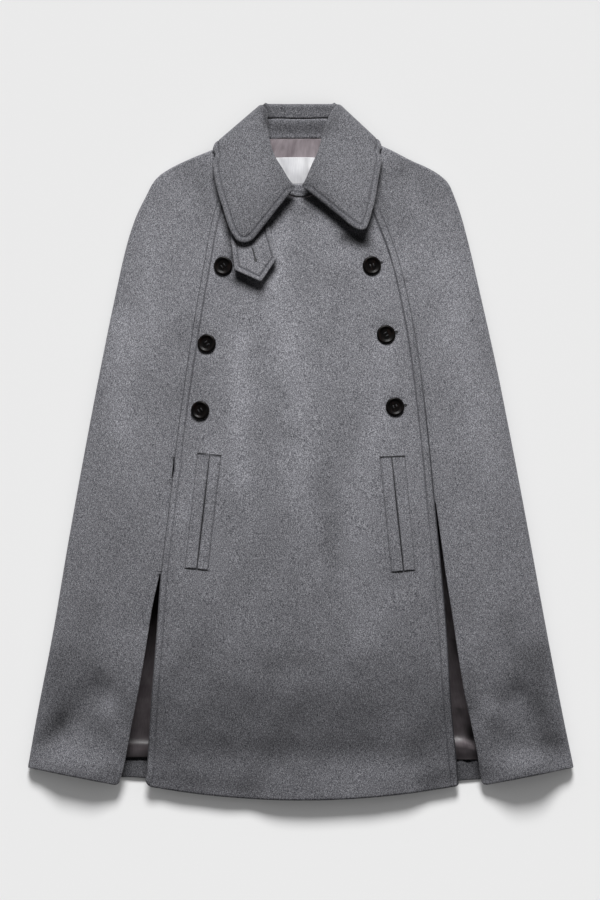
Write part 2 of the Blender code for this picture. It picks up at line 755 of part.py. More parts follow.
def turn_rows(turn):
    """Sections where the collar passes round the side of the neck, from front to back."""
    roll = np.array([turn.roll_x, turn.roll_up])
    edge = np.array([turn.edge_x, turn.edge_up])
    neck = np.array([turn.neck_x, turn.neck_up])
    along = (edge - roll) / np.hypot(*(edge - roll))
    inward = np.array([-along[1], along[0]])
    inward = inward if inward[1] < 0.0 else -inward
    rows = []
    for lean in TURN_ANGLES:
        side, rise = math.cos(math.radians(lean)), math.sin(math.radians(lean))
        roll_at = roll + inward * TURN_ROLL_RADIUS * (1.0 - side)
        edge_at = edge + inward * TURN_EDGE_RADIUS * (1.0 - side) + along * TURN_SLIDE * abs(rise)
        neck_at = neck - inward * TURN_NECK_RADIUS * side
        rows.append(CollarRow(
            *roll_at, TURN_ROLL_RADIUS * (1.0 + rise),
            *edge_at, TURN_EDGE_RADIUS * (1.0 + rise),
            *neck_at, TURN_NECK_Z + TURN_NECK_RADIUS * rise, lean, TURN_LENGTH))
    return tuple(rows)


def collar_rows():
    """All sections of the collar, from the minus side's throat round to the plus side's."""
    minus = MINUS_COLLAR + turn_rows(MINUS_TURN) + MINUS_COLLAR_BACK
    plus = PLUS_COLLAR + turn_rows(PLUS_TURN) + PLUS_COLLAR_BACK
    return minus + MIDDLE_COLLAR + tuple(reversed(plus))


def build_collar():
    """The fall with its two leaves, the stand inside it and the band end at the throat."""
    sections = [collar_section(row) for row in collar_rows()]
    wall("collar_fall", np.array([s[0] for s in sections]), np.array([s[1] for s in sections]), "wool")

    face, reverse = [], []
    for row in collar_rows()[STAND_START:-STAND_START]:
        roll, along, toward, _ = section_frame(row)
        start = roll + along * (row.turn + SEAM_GAP) + toward * (2 * ROLL_RADIUS - SEAM_GAP)
        end = place(row.neck_x, row.neck_up, row.neck_z)
        end = end + toward * STAND_WALL / 2.0
        middle = (start + end) / 2.0
        face.append([start, middle, end])
        reverse.append([point - toward * STAND_WALL for point in (start, middle, end)])
    wall("collar_stand", np.array(face), np.array(reverse), "wool")


def build_neck_band():
    """The short end of the stand that shows between the leaves."""
    x = BAND_MIDDLE_X + BAND_HALF_WIDTH * np.linspace(-1.0, 1.0, BAND_COLUMNS)[None, :]
    low = BAND_LOW_UP + NECK_DIP * (np.abs(x) / NECK_HALF_WIDTH) ** NECK_CURVE_POWER
    up = low + (BAND_HIGH_UP - BAND_LOW_UP) * np.linspace(0.0, 1.0, BAND_ROWS)[:, None]
    x = np.broadcast_to(x, up.shape)
    layer("neck_band", x, up, coat_height(x, BAND_LOW_UP) + LAY_GAP, BAND_WALL, "wool")


def build_tab():
    """The throat tab: it comes from under the minus leaf and ends in a point."""
    rows = np.array(TAB_ROWS)
    across = np.linspace(0.0, 1.0, TAB_COLUMNS)[None, :]
    x = rows[:, 0:1] + (rows[:, 2:3] - rows[:, 0:1]) * across
    up = rows[:, 1:2] + (rows[:, 3:4] - rows[:, 1:2]) * across
    point = TAB_POINT * (1.0 - np.abs(2.0 * across - 1.0))
    axis = np.array([rows[0, 3] - rows[0, 1], rows[0, 0] - rows[0, 2]])
    axis = axis / np.hypot(*axis)
    fade = np.linspace(1.0, 0.0, len(TAB_ROWS))[:, None] ** 2
    x = x + axis[0] * point * fade
    up = up + axis[1] * point * fade
    layer("throat_tab", x, up, front_top(x, up) + rows[:, 4:5], TAB_WALL, "wool")


def build_welts():
    """Two welts to each pocket, laid on the overlapping front."""
    for row in WELTS:
        share = np.linspace(0.0, 1.0, WELT_ROWS)[:, None, None]
        mouth = np.array(row.top_mouth) + (np.array(row.low_mouth) - np.array(row.top_mouth)) * share
        outer = np.array(row.top_outer) + (np.array(row.low_outer) - np.array(row.top_outer)) * share
        grid = np.concatenate([mouth, (mouth + outer) / 2.0, outer], axis=1)
        x, up = grid[..., 0], grid[..., 1]
        layer(row.name, x, up, front_top(x, up) + LAY_GAP, WELT_WALL, "wool")


def build_button(row):
    """A turned button with a raised rim and a dished middle, square to the cloth under it."""
    step = BUTTON_RADIUS
    rise_x = float(front_top(row.x + step, row.up) - front_top(row.x - step, row.up)) / (2 * step)
    rise_up = float(front_top(row.x, row.up + step) - front_top(row.x, row.up - step)) / (2 * step)
    normal = np.array([-rise_x, -rise_up, 1.0])
    normal = normal / np.linalg.norm(normal)
    first = np.array([1.0, 0.0, rise_x])
    first = first / np.linalg.norm(first)
    second = np.cross(normal, first)
    centre = place(row.x, row.up, float(front_top(row.x, row.up))) + normal * BUTTON_SEAT
    vertices, faces = [], []
    for reach, height in BUTTON_PROFILE:
        for k in range(BUTTON_SEGMENTS):
            angle = 2.0 * math.pi * k / BUTTON_SEGMENTS
            offset = first * math.cos(angle) + second * math.sin(angle)
            vertices.append(centre + offset * reach + normal * height)
    for ring in range(len(BUTTON_PROFILE) - 1):
        for k in range(BUTTON_SEGMENTS):
            here = ring * BUTTON_SEGMENTS + k
            after = ring * BUTTON_SEGMENTS + (k + 1) % BUTTON_SEGMENTS
            faces.append((here, after, after + BUTTON_SEGMENTS, here + BUTTON_SEGMENTS))
    faces.append(tuple(range(BUTTON_SEGMENTS - 1, -1, -1)))
    last = (len(BUTTON_PROFILE) - 1) * BUTTON_SEGMENTS
    faces.append(tuple(range(last, last + BUTTON_SEGMENTS)))
    add_solid(row.name, vertices, faces, "button")


def build_label():
    """The bare neck label on the lining."""
    x = np.linspace(*LABEL_X, LABEL_COLUMNS)[None, :]
    up = np.linspace(*LABEL_UP, LABEL_ROWS)[:, None]
    x, up = np.broadcast_arrays(x, up)
    under = ground(x, up) + WOOL + LAY_GAP + LINING_WALL + LAY_GAP
    layer("label", x, up, under, LABEL_WALL, "label")


def main():
    """Clear the scene and build every piece of the coat."""
    for old in list(bpy.data.objects):
        bpy.data.objects.remove(old, do_unlink=True)
    build_fronts()
    build_wing("wing_minus_x", -1)
    build_wing("wing_plus_x", 1)
    build_back()
    build_label()
    build_collar()
    build_neck_band()
    build_tab()
    build_welts()
    for row in BUTTONS:
        build_button(row)


main()
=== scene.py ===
"""Wool cape coat laid flat: fine cloth shells, stitching, buttons and finishes over its solids.

Plan points are in millimetres: x runs across the coat, "up" runs from the lowest point of the
hem towards the back fold of the collar, and z leaves the surface that the coat lies on.  A mesh
is turned into metres, in the frame of the solids, when it is made.
"""
import logging
import math
from collections.abc import Callable
from dataclasses import dataclass, field
from enum import Enum

import bpy
import numpy as np
from mathutils import Matrix, Vector
from mathutils.kdtree import KDTree


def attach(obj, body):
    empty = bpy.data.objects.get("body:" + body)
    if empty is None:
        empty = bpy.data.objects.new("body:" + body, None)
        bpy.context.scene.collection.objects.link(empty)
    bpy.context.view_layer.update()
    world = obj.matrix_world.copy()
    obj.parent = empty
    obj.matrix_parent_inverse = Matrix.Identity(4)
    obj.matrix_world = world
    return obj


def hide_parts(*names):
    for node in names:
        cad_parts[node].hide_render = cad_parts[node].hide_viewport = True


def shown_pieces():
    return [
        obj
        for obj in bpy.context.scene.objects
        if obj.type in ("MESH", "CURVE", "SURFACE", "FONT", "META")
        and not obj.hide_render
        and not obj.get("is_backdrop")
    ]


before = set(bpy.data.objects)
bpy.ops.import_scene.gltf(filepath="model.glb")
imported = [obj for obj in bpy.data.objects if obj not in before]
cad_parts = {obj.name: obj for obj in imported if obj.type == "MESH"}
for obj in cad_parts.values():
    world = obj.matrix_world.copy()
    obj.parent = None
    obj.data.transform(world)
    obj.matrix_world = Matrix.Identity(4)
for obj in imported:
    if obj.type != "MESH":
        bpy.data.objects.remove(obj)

Array = np.ndarray
Piece, Material = bpy.types.Object, bpy.types.Material
Node = bpy.types.Node
Source = Node | bpy.types.NodeSocket  # what feeds a socket: a node stands for its first output

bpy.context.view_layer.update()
LOG = logging.getLogger("cape_coat")

MM = 0.001
LENGTH = 893.0  # hem to back fold of the collar, in millimetres
BODY = "root"
UP = np.array([0.0, 0.0, 1.0])


class Side(Enum):
    """The two halves of the coat, by the sign of x."""
    MINUS = -1
    PLUS = 1

    @property
    def label(self) -> str:
        """The half's name in the names of pieces."""
        return f"{self.name.lower()}_x"


class Border(Enum):
    """The four borders of a grid of points: an index of its rows and one of its columns."""
    FIRST_ROW = (0, ...)
    LAST_ROW = (-1, ...)
    FIRST_COLUMN = (slice(None), 0)
    LAST_COLUMN = (slice(None), -1)


class Hold(Enum):
    """How a sheet of cloth is held."""
    LAID = "laid"
    FOLDED = "folded"


# ---- Curves ----

def hermite(knots: Array, values: Array, tangents: Array, at: Array) -> Array:
    """Read cubic curves that have these values and tangents at their knots."""
    i = np.clip(np.searchsorted(knots, at, side="right") - 1, 0, len(knots) - 2)
    shape = np.shape(at) + (1,) * (values.ndim - 1)
    step = np.diff(knots)[i].reshape(shape)
    t = (at - knots[i]).reshape(shape) / step
    return ((1 + 2 * t) * (1 - t) ** 2 * values[i] + t * (1 - t) ** 2 * step * tangents[i]
            + t * t * (3 - 2 * t) * values[i + 1] - t * t * (1 - t) * step * tangents[i + 1])


def monotone(knots: Array, values: Array, at: Array) -> Array:
    """Read a smooth value between knots without overshoot.

    Args:
        knots: rising positions of the known values.
        values: the known values.
        at: positions to read.

    Returns:
        The values there, in the shape of at.
    """
    knots, values = np.asarray(knots, float), np.asarray(values, float)
    steps = np.diff(knots)
    slopes = np.diff(values) / steps
    tangents = np.zeros(len(knots))
    tangents[0], tangents[-1] = slopes[0], slopes[-1]
    for i in range(1, len(knots) - 1):
        if slopes[i - 1] * slopes[i] > 0.0:
            before, after = 2.0 * steps[i] + steps[i - 1], steps[i] + 2.0 * steps[i - 1]
            tangents[i] = (before + after) / (before / slopes[i - 1] + after / slopes[i])
    return hermite(knots, values, tangents, np.clip(np.asarray(at, float), knots[0], knots[-1]))


def table(rows: tuple, at: Array, column: int = 1) -> Array:
    """Read a column of a table whose first column rises."""
    return monotone([row[0] for row in rows], [row[column] for row in rows], at)


def through(knots: Array, points: Array, at: Array) -> Array:
    """Run a smooth curve through points.

    Args:
        knots: (n,) rising positions.
        points: (n, ...) what is known there.
        at: (m,) positions to read.

    Returns:
        (m, ...) points on cubic curves whose tangents follow the neighbouring points.
    """
    knots = np.asarray(knots, float)
    steps = np.diff(knots).reshape((-1,) + (1,) * (points.ndim - 1))
    slopes = np.diff(points, axis=0) / steps
    tangents = np.empty_like(points, dtype=float)
    tangents[0], tangents[-1] = slopes[0], slopes[-1]
    before, after = steps[:-1], steps[1:]
    tangents[1:-1] = (slopes[:-1] * after + slopes[1:] * before) / (before + after)
    return hermite(knots, points, tangents, at)


def smooth_step(value: Array, low: float, high: float) -> Array:
    """Go smoothly from 0 at low to 1 at high."""
    share = np.clip((value - low) / (high - low), 0.0, 1.0)
    return share * share * (3.0 - 2.0 * share)


def fall(value: Array, low: float, high: float) -> Array:
    """Go smoothly from 1 at low to 0 at high."""
    return 1.0 - smooth_step(value, low, high)


def bump(distance: Array, width: float) -> Array:
    """A soft bell that is 1 at no distance and falls away over the width."""
    return np.exp(-(distance / width) ** 2)


def climb(at: Array, start: float, *steps: tuple) -> Array:
    """A start value with smooth steps added, each an amount and where it begins and ends."""
    return start + sum(amount * smooth_step(at, low, high) for amount, low, high in steps)


def line_distance(x: Array, up: Array, line: Array) -> Array:
    """Distance in plan from points to a line of straight runs."""
    points = np.stack(np.broadcast_arrays(np.asarray(x, float), np.asarray(up, float)), axis=-1)
    nearest = np.full(points.shape[:-1], np.inf)
    for start, end in zip(line[:-1], line[1:]):
        start, along = np.asarray(start, float), np.subtract(end, start).astype(float)
        share = np.clip(((points - start) @ along) / (along @ along), 0.0, 1.0)
        gap = points - start - share[..., None] * along
        nearest = np.minimum(nearest, np.hypot(gap[..., 0], gap[..., 1]))
    return nearest


def band_sum(bands: tuple, x: Array, up: Array) -> Array:
    """Sum soft bands that lie along lines.

    Args:
        bands: rows of an amount, a width, and the x and level of each point of the line.
        x: across the coat.
        up: level on the coat.

    Returns:
        The sum of the amounts, each falling away over its width from its line.
    """
    total = np.zeros(np.broadcast(x, up).shape)
    for amount, width, *line in bands:
        total = total + amount * bump(line_distance(x, up, np.reshape(line, (-1, 2))), width)
    return total


def unit(vectors: Array) -> Array:
    """Vectors of length 1, along the last axis."""
    return vectors / np.maximum(np.linalg.norm(vectors, axis=-1, keepdims=True), 1e-9)


def knots_of(sections: Array) -> Array:
    """Mean distance of each section, a row of points, from the first one, along the way."""
    gaps = np.linalg.norm(np.diff(sections, axis=0), axis=-1)
    return np.concatenate([[0.0], np.cumsum(gaps.mean(axis=1))])


def resample(points: Array, pitch: float) -> Array:
    """Points at an even pitch along a line of straight runs."""
    lengths = np.concatenate([[0.0], np.cumsum(np.linalg.norm(np.diff(points, axis=0), axis=1))])
    keep = np.concatenate([[True], np.diff(lengths) > 1e-9])
    count = max(int(lengths[-1] / pitch), 1) + 1
    at = np.linspace(0.0, lengths[-1], count)
    return np.stack([np.interp(at, lengths[keep], points[keep, k]) for k in range(3)], axis=1)


# ---- The form of the coat ----

@dataclass(frozen=True)
class CoatForm:
    """Plan edges and heights of the laid coat, the same as its solids have, and its creases."""
    wool: float = 2.4
    lay_gap: float = 0.6
    lining_wall: float = 1.0
    fall_lift: float = 4.8
    fall_edge: tuple = (813, 14, 113)  # level, curve and half width of the back fall
    fall_ramp: tuple = (-42, -5)
    fall_side_ramp: tuple = (130, 172)

    # up, x on the minus side, x on the plus side
    front_edges: tuple = (
        (18, -198.7, 202), (51, -195.9, 199.3), (122, -191.3, 192.4), (205, -184.7, 187.2),
        (288, -178.5, 180.2), (371, -168.7, 172), (474, -156.7, 162.3), (576, -142.2, 149.7),
        (640, -131.9, 138.1), (691, -122.9, 125.6), (736, -114.8, 109.7), (768, -105.9, 95.6),
        (793, -93.7, 81.7), (813, -82.2, 71.4), (832, -64.3, 61.2))
    side_folds: tuple = (
        (42, -349.1, 349.2), (102, -338.5, 336.7), (217, -316.4, 314.5), (333, -296.8, 293.3),
        (448, -276, 271.6), (550, -256.6, 251.4), (640, -238.3, 231.4), (717, -220.6, 213.5),
        (750, -209.2, 204.4), (773, -197.7, 196.2), (788.5, -189.7, 189.2), (799, -180.7, 178.9),
        (809, -165.4, 162.3), (819, -144.6, 139.8), (832, -112.9, 114.9), (854, -59.1, 61.8))
    # above the hem, height of the coat's middle
    heights: tuple = (
        (0, 22), (30, 23), (60, 27.5), (90, 35.5), (125, 45), (160, 52), (200, 56.5), (260, 59.5),
        (380, 61), (500, 60), (600, 57), (700, 51), (780, 46), (860, 40))
    # level, radius of the side and shoulder folds: pressed at the hem, round above it
    fold_radii: tuple = ((42, 9.8), (76, 8.4), (135, 8.5), (560, 8), (700, 5), (760, 4.5))
    # level, distance from the side fold over which the coat reaches its height
    rise_widths: tuple = ((42, 55), (80, 68), (150, 135), (220, 180))
    even_reach: float = 36.0  # from the side fold to where creases and waves are full
    # distance from the middle, level of the hem
    hem_levels: tuple = ((0, 0), (70, 1.8), (130, 7), (200, 18.5), (235, 21), (290, 30), (350, 42))
    # soft folds: height, negative for a trough, width, and the points of the line
    creases: tuple = (
        (2.5, 18, -20, 704, -10, 600, -12, 486), (-2.2, 15, -49, 630, -49, 525),
        (-3, 19, 51, 653, 51, 410, 25, 371, 25, 307), (3, 22, 51, 269, 72, 192),
        (-1.6, 12, -138, 600, -146, 435), (0.35, 1.6, -1.5, 748, -1.5, 668),
        (-8, 24, -332, 74, -296, 104, -262, 138), (-8, 22, 338, 70, 312, 96, 280, 130),
        (11, 32, -326, 46, -262, 32), (17, 34, 334, 48, 278, 34), (-4, 19, -246, 24, -232, 20),
        (-4.5, 22, 246, 24, 232, 20), (-7, 26, -170, 12, -70, 0), (-2.5, 22, -202, 20, -190, 16),
        (-10, 25, 172, 10, 214, 24), (-2.2, 7, 129, 659, 142, 560, 158, 461),
        (-2.4, 13, -98.6, 684, -98.6, 682), (-2.4, 13, -119.3, 585, -119.3, 583),
        (-2.4, 13, -127.6, 500, -127.6, 498), (-2.8, 13, 90.3, 684, 90.3, 682),
        (-3.2, 13, 108.6, 597, 108.6, 595), (-2.8, 13, 119.9, 504, 119.9, 502),
        (2, 30, -60, 150, 40, 142), (-1.6, 18, -190, 56, 195, 54))
    # painted light and shade that stands in for the shading of soft folds and for soft shadows under the
    # throat tab, below the plus leaf's tip, beside the leaves and at the throat: share by which the cloth
    # is drawn paler, width, line
    painted_shading_strokes: tuple = (
        (-0.17, 7, 143, 602, 169, 384, 180, 256), (0.13, 15, 119, 474, 123, 397),
        (0.12, 13, -113, 435, -96, 410), (-0.35, 6, -93, 727, -88, 689),
        (-0.2, 18, -300, 100, -262, 122), (-0.22, 11, -332, 80, -306, 106),
        (-0.26, 17, 256, 78, 326, 74), (-0.08, 26, -180, 781, -122, 806), (0.12, 22, 112, 98, 128, 40),
        (-0.24, 26, -141, 800, -118, 753), (-0.33, 28, 160, 788, 128, 804, 118, 749),
        (0.14, 18, -192, 723, -197, 563), (0.26, 20, -229, 608, -232, 480),
        (0.2, 23, 194, 685, 202, 589, 228, 512, 233, 435),
        (0.27, 22, -39, 689, -26, 602, -3, 525, -2, 461, -2, 390),
        (0.35, 17, -77, 589, -77, 512, -80, 442, -74, 410),
        (-0.15, 18, -151, 589, -122, 557, -154, 518), (0.2, 20, 112, 570, 102, 512, 83, 422, 74, 326),
        (-0.2, 15, 38, 384, 38, 282), (0.15, 17, -118, 461, -122, 397, -154, 365),
        (-0.18, 22, -269, 243, -275, 192), (0.2, 17, 109, 269, 57, 186), (-0.26, 18, -39, 177, 6, 179),
        (0.13, 27, -147, 141, -77, 102), (0.15, 22, 121, 109, 77, 58, 45, 28),
        (0.45, 13, -246, 120, -228, 92), (0.52, 13, 238, 120, 226, 98), (-0.3, 22, -307, 179, -315, 92),
        (-0.42, 22, 302, 186, 315, 83), (-0.22, 18, 266, 224, 274, 173), (-0.1, 18, 258, 134, 286, 98),
        (0.26, 15, -194, 34, -180, 24), (0.14, 16, 190, 62, 186, 34), (-0.2, 9, 98, 792, 104, 736),
        (-0.12, 9, -124, 786, -118, 744), (-0.45, 7, -94, 669, -66, 657),
        (-0.68, 9.5, 58, 719, 84, 713), (-0.1, 18, 0, 738, 2, 706), (0.12, 14, -236, 36, -246, 28),
        (0.14, 15, 238, 40, 252, 30), (0.35, 7, -44, 664, -30, 676), (-0.26, 9, -8, 753, 14, 750))
    # sideways and lengthways wave lengths, phase and height of the cloth's unevenness
    waves: tuple = ((170, 260, 0.4, 0.7), (95, -140, 2.1, 0.4), (-61, 88, 4, 0.22), (47, 39, 1.3, 0.10))

    def front_edge(self, side: Side, up: Array) -> Array:
        """X of the overlapping front's edge."""
        return table(self.front_edges, up, 1 if side is Side.MINUS else 2)

    def side_fold(self, side: Side, up: Array) -> Array:
        """X of the side and shoulder fold."""
        return table(self.side_folds, up, 1 if side is Side.MINUS else 2)

    def fold_radius(self, up: Array) -> Array:
        """Outside radius of the side and shoulder folds at a level."""
        return table(self.fold_radii, up)

    def fold_distance(self, x: Array, up: Array) -> Array:
        """Distance in plan from a point to the nearer side fold."""
        levels = np.linspace(self.side_folds[0][0], self.side_folds[-1][0], 140)
        lines = [np.stack([self.side_fold(side, levels), levels], axis=1) for side in Side]
        return np.minimum(*[line_distance(x, up, line) for line in lines])

    def ground(self, x: Array, up: Array) -> Array:
        """Height of the lowest wool layer, which climbs over the collar's back fall."""
        across = np.abs(np.asarray(x, float))
        level, rise, half_width = self.fall_edge
        edge = level + rise * np.minimum(across / half_width, 1.0) ** 2
        climb = smooth_step(up, edge + self.fall_ramp[0], edge + self.fall_ramp[1])
        return self.fall_lift * climb * fall(across, *self.fall_side_ramp)

    def unevenness(self, x: Array, up: Array) -> Array:
        """Creases and slow waves over the even form, which die out at the side folds."""
        over = band_sum(self.creases, x, up)
        for across, along, phase, height in self.waves:
            over = over + height * np.sin(2.0 * math.pi * (x / across + up / along) + phase)
        return over

    def height(self, x: Array, up: Array) -> Array:
        """Top of the wings and of the hidden front: what the overlapping front lies on."""
        middle = table(self.heights, up - table(self.hem_levels, np.abs(x)))
        gap, radius = self.fold_distance(x, up), self.fold_radius(up)
        reach = np.clip((gap - radius) / table(self.rise_widths, up), 0.0, 1.0)
        low = self.ground(x, up) + 2.0 * radius
        even = low + np.maximum(middle - low, 0.0) * (1.0 - (1.0 - reach) ** 2)
        return even + self.unevenness(x, up) * smooth_step(gap, radius, radius + self.even_reach)

    def front_top(self, x: Array, up: Array) -> Array:
        """Top of the overlapping front, away from its edges."""
        return self.height(x, up) + self.lay_gap + self.wool


def plan(x: Array, up: Array, z: Array) -> Array:
    """Stack plan coordinates into points."""
    return np.stack(np.broadcast_arrays(*(np.asarray(part, float) for part in (x, up, z))), axis=-1)


def to_frame(points: Array) -> Array:
    """Turn plan points in millimetres into the frame of the solids, in metres."""
    return (np.asarray(points, float) - (0.0, LENGTH / 2.0, 0.0)) * MM


# ---- Making and handing over pieces ----

def deselect_all() -> None:
    """Leave nothing selected, so that an operator acts on the new piece only."""
    if bpy.context.mode != "OBJECT":
        bpy.ops.object.mode_set(mode="OBJECT")
    bpy.ops.object.select_all(action="DESELECT")


def select(piece: Piece) -> None:
    """Select this piece only, and make it active."""
    deselect_all()
    piece.select_set(True)
    bpy.context.view_layer.objects.active = piece


def apply_modifier(piece: Piece, kind: str, **settings) -> None:
    """Add a modifier with these settings and apply it."""
    select(piece)
    modifier = piece.modifiers.new(kind.lower(), kind)
    for name, value in settings.items():
        setattr(modifier, name, value)
    bpy.ops.object.modifier_apply(modifier=modifier.name)


def link(name: str, data: bpy.types.ID) -> Piece:
    """Put data into the scene as an object."""
    piece = bpy.data.objects.new(name, data)
    bpy.context.scene.collection.objects.link(piece)
    return piece


def primitive(add: Callable, name: str, **settings) -> Piece:
    """Add one of Blender's primitive meshes with its operator."""
    deselect_all()
    add(**settings)
    piece = bpy.context.object
    piece.name = piece.data.name = name
    return piece


def new_object(name: str, points: Array, faces: list, edges: list) -> Piece:
    """Put points, in metres, and the faces or edges between them into the scene as an object."""
    mesh = bpy.data.meshes.new(name)
    mesh.from_pydata(np.asarray(points).tolist(), edges, faces)
    mesh.shade_smooth()
    return link(name, mesh)


def search_tree(points: Array) -> KDTree:
    """Sort points so that the nearest of them to a place is found."""
    tree = KDTree(len(points))
    for i, point in enumerate(points):
        tree.insert(point, i)
    tree.balance()
    return tree


@dataclass(frozen=True)
class Cut:
    """The flat cut of a cloth piece, in metres, and how it is held."""
    width: float
    length: float
    area: float
    rests_on: tuple
    held: Hold = Hold.LAID


@dataclass(frozen=True)
class RimStitch:
    """How stitches beside a rolled rim shape the cloth."""
    inset: float  # from the rim to the stitches
    depth: float  # of the groove that they pull
    width: float
    puff: tuple  # height, place and width of the swell outside them
    share_under: float  # of the groove's depth that the underside follows
    radius: float  # of the rim


@dataclass
class Shell:
    """Two matching grids of points, in millimetres, that close into a wall of cloth."""
    top: Array
    under: Array

    @classmethod
    def laid(cls, x: Array, up: Array, base: Array, wall: Array | float) -> "Shell":
        """Lay a wall on a height that is given over plan points."""
        return cls(plan(x, up, base + wall), plan(x, up, base))

    @property
    def middle(self) -> Array:
        """Points halfway through the wall."""
        return (self.top + self.under) / 2.0

    def border(self, *borders: Border) -> Array:
        """Close points along the named borders, halfway through the wall."""
        return np.concatenate([resample(self.middle[border.value], 0.6) for border in borders])

    def distance_to(self, line: Array) -> Array:
        """Distance from the points of the middle to the nearest point of a line."""
        tree, middle = search_tree(line), self.middle
        flat = [tree.find(point)[2] for point in middle.reshape(-1, 3)]
        return np.array(flat).reshape(middle.shape[:2])

    def distance_from(self, *borders: Border) -> Array:
        """Distance from the points of the middle to the nearest of these borders."""
        return self.distance_to(self.border(*borders))

    def through_wall(self) -> Array:
        """Unit vectors from the top to the underside."""
        return unit(self.under - self.top)

    def press(self, depth: Array, share_under: float = 0.0) -> None:
        """Sink the top into the wall, and the underside by a share of that."""
        down = self.through_wall() * np.asarray(depth)[..., None]
        self.top = self.top + down
        self.under = self.under + down * share_under

    def round_rim(self, distance: Array, radius: float) -> None:
        """Draw both faces together towards a rim, as rolled edges of cloth are."""
        share = np.clip(distance / radius, 0.0, 1.0)
        thickness = np.maximum(np.sqrt(1.0 - (1.0 - share) ** 2), 0.2)[..., None]
        middle = self.middle
        self.top = middle + (self.top - middle) * thickness
        self.under = middle + (self.under - middle) * thickness

    def stitch_rim(self, rim: Array, stitch: RimStitch) -> Array:
        """Pull a stitched groove beside a rim, with a swell outside it, and roll the rim.

        Args:
            rim: (rows, columns) distances of the grid's points from the rim.
            stitch: where the stitches lie and how they shape the cloth.

        Returns:
            The strength of the groove at the grid's points.
        """
        groove = bump(rim - stitch.inset, stitch.width)
        height, place, width = stitch.puff
        self.press(stitch.depth * groove - height * bump(rim - place, width), stitch.share_under)
        self.round_rim(rim, stitch.radius)
        return groove

    def mirrored(self) -> bool:
        """Whether the top's rows and columns run so that its faces would point inwards."""
        outward = np.cross(np.diff(self.top, axis=1)[:-1], np.diff(self.top, axis=0)[:, :-1])
        return bool((outward * self.through_wall()[:-1, :-1]).sum() > 0.0)

    def write(self, mesh: bpy.types.Mesh, name: str, values: Array | float) -> None:
        """Store a value at each point of the top, and none on the underside."""
        top = np.broadcast_to(values, self.top.shape[:2]).ravel()
        attribute = mesh.attributes.new(name, "FLOAT", "POINT")
        attribute.data.foreach_set("value", np.concatenate([top, top * 0.0]))

    def make(self, name: str, pressed_nap_and_shade: Array | float = 0.0, painted_shading: Array | float = 0.0) -> Piece:
        """Build the closed mesh from a grid that is given a wall and then shaped.

        Args:
            name: of the piece.
            pressed_nap_and_shade: painted shade in grooves and along seams, partly pressed nap, at each
                point of the top, from 0 to 1.
            painted_shading: painted light and shade, the share by which the cloth is drawn paler there,
                negative where it is drawn darker.

        Returns:
            The piece, with a UV map in metres of cloth and two attributes: painted shade in grooves and
            along seams (partly pressed nap), and painted light and shade.
        """
        rows, columns = self.top.shape[:2]
        piece = primitive(bpy.ops.mesh.primitive_grid_add, name, x_subdivisions=columns - 1,
                          y_subdivisions=rows - 1, size=1.0)
        apply_modifier(piece, "SOLIDIFY", thickness=0.01, offset=-1.0)
        mesh = piece.data
        points = np.concatenate([self.top.reshape(-1, 3), self.under.reshape(-1, 3)])
        mesh.vertices.foreach_set("co", to_frame(points).ravel())
        mesh.update()
        if self.mirrored():
            mesh.flip_normals()
        middle = self.middle
        width = np.linalg.norm(np.diff(middle, axis=1), axis=-1).sum(axis=1).mean() * MM
        length = np.linalg.norm(np.diff(middle, axis=0), axis=-1).sum(axis=0).mean() * MM
        uv = np.empty(len(mesh.loops) * 2)
        mesh.uv_layers[0].data.foreach_get("uv", uv)
        mesh.uv_layers[0].data.foreach_set("uv", (uv.reshape(-1, 2) * (width, length)).ravel())
        # store the painted groove and seam shade, and the painted light and shade, on the top only
        self.write(mesh, "pressed_nap_and_shade", np.clip(pressed_nap_and_shade, 0.0, 1.0))
        self.write(mesh, "painted_shading", np.clip(painted_shading, -0.95, 0.95))
        mesh.shade_smooth()
        return piece

    def line_at(self, distance: Array, level: float, guide: Array) -> Array:
        """Find the line on the top where a distance has a certain value.

        Args:
            distance: (rows, columns) values at the grid's points.
            level: the value wanted.
            guide: close points in the order in which the line runs.

        Returns:
            (n, 3) points along the line.
        """
        found = []
        for here, after in ((np.s_[:-1], np.s_[1:]), (np.s_[:, :-1], np.s_[:, 1:])):
            crossing = (distance[here] - level) * (distance[after] - level) < 0.0
            span = np.where(crossing, distance[after] - distance[here], 1.0)
            share = ((level - distance[here]) / span)[crossing][:, None]
            start, end = self.top[here][crossing], self.top[after][crossing]
            found.append(start + (end - start) * share)
        found = np.concatenate(found)
        tree = search_tree(guide)
        order = np.argsort([tree.find(point)[1] for point in found], kind="stable")
        return found[order]


def hand_over(piece: Piece, finish: Material,
              nodes: tuple = ()) -> Piece:
    """Dress a finished piece and tell the frame what it is.

    Args:
        piece: the finished object.
        finish: its material.
        nodes: the solids that it stands for.

    Returns:
        The piece.
    """
    piece.data.materials.clear()
    piece.data.materials.append(finish)
    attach(piece, BODY)
    if nodes:
        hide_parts(*nodes)
    LOG.info("%s: %d faces", piece.name, len(piece.data.polygons))
    return piece


# ---- Finishes ----

def linear(colour: str) -> tuple[float, float, float, float]:
    """Turn an sRGB hex colour into linear values."""
    parts = [int(colour[i:i + 2], 16) / 255.0 for i in (1, 3, 5)]
    return (*[p / 12.92 if p <= 0.04045 else ((p + 0.055) / 1.055) ** 2.4 for p in parts], 1.0)


def feed(node: Node, links: dict) -> None:
    """Link sources to the named or numbered inputs of a node."""
    for name, source in links.items():
        socket = source.outputs[0] if isinstance(source, Node) else source
        node.id_data.links.new(socket, node.inputs[name])


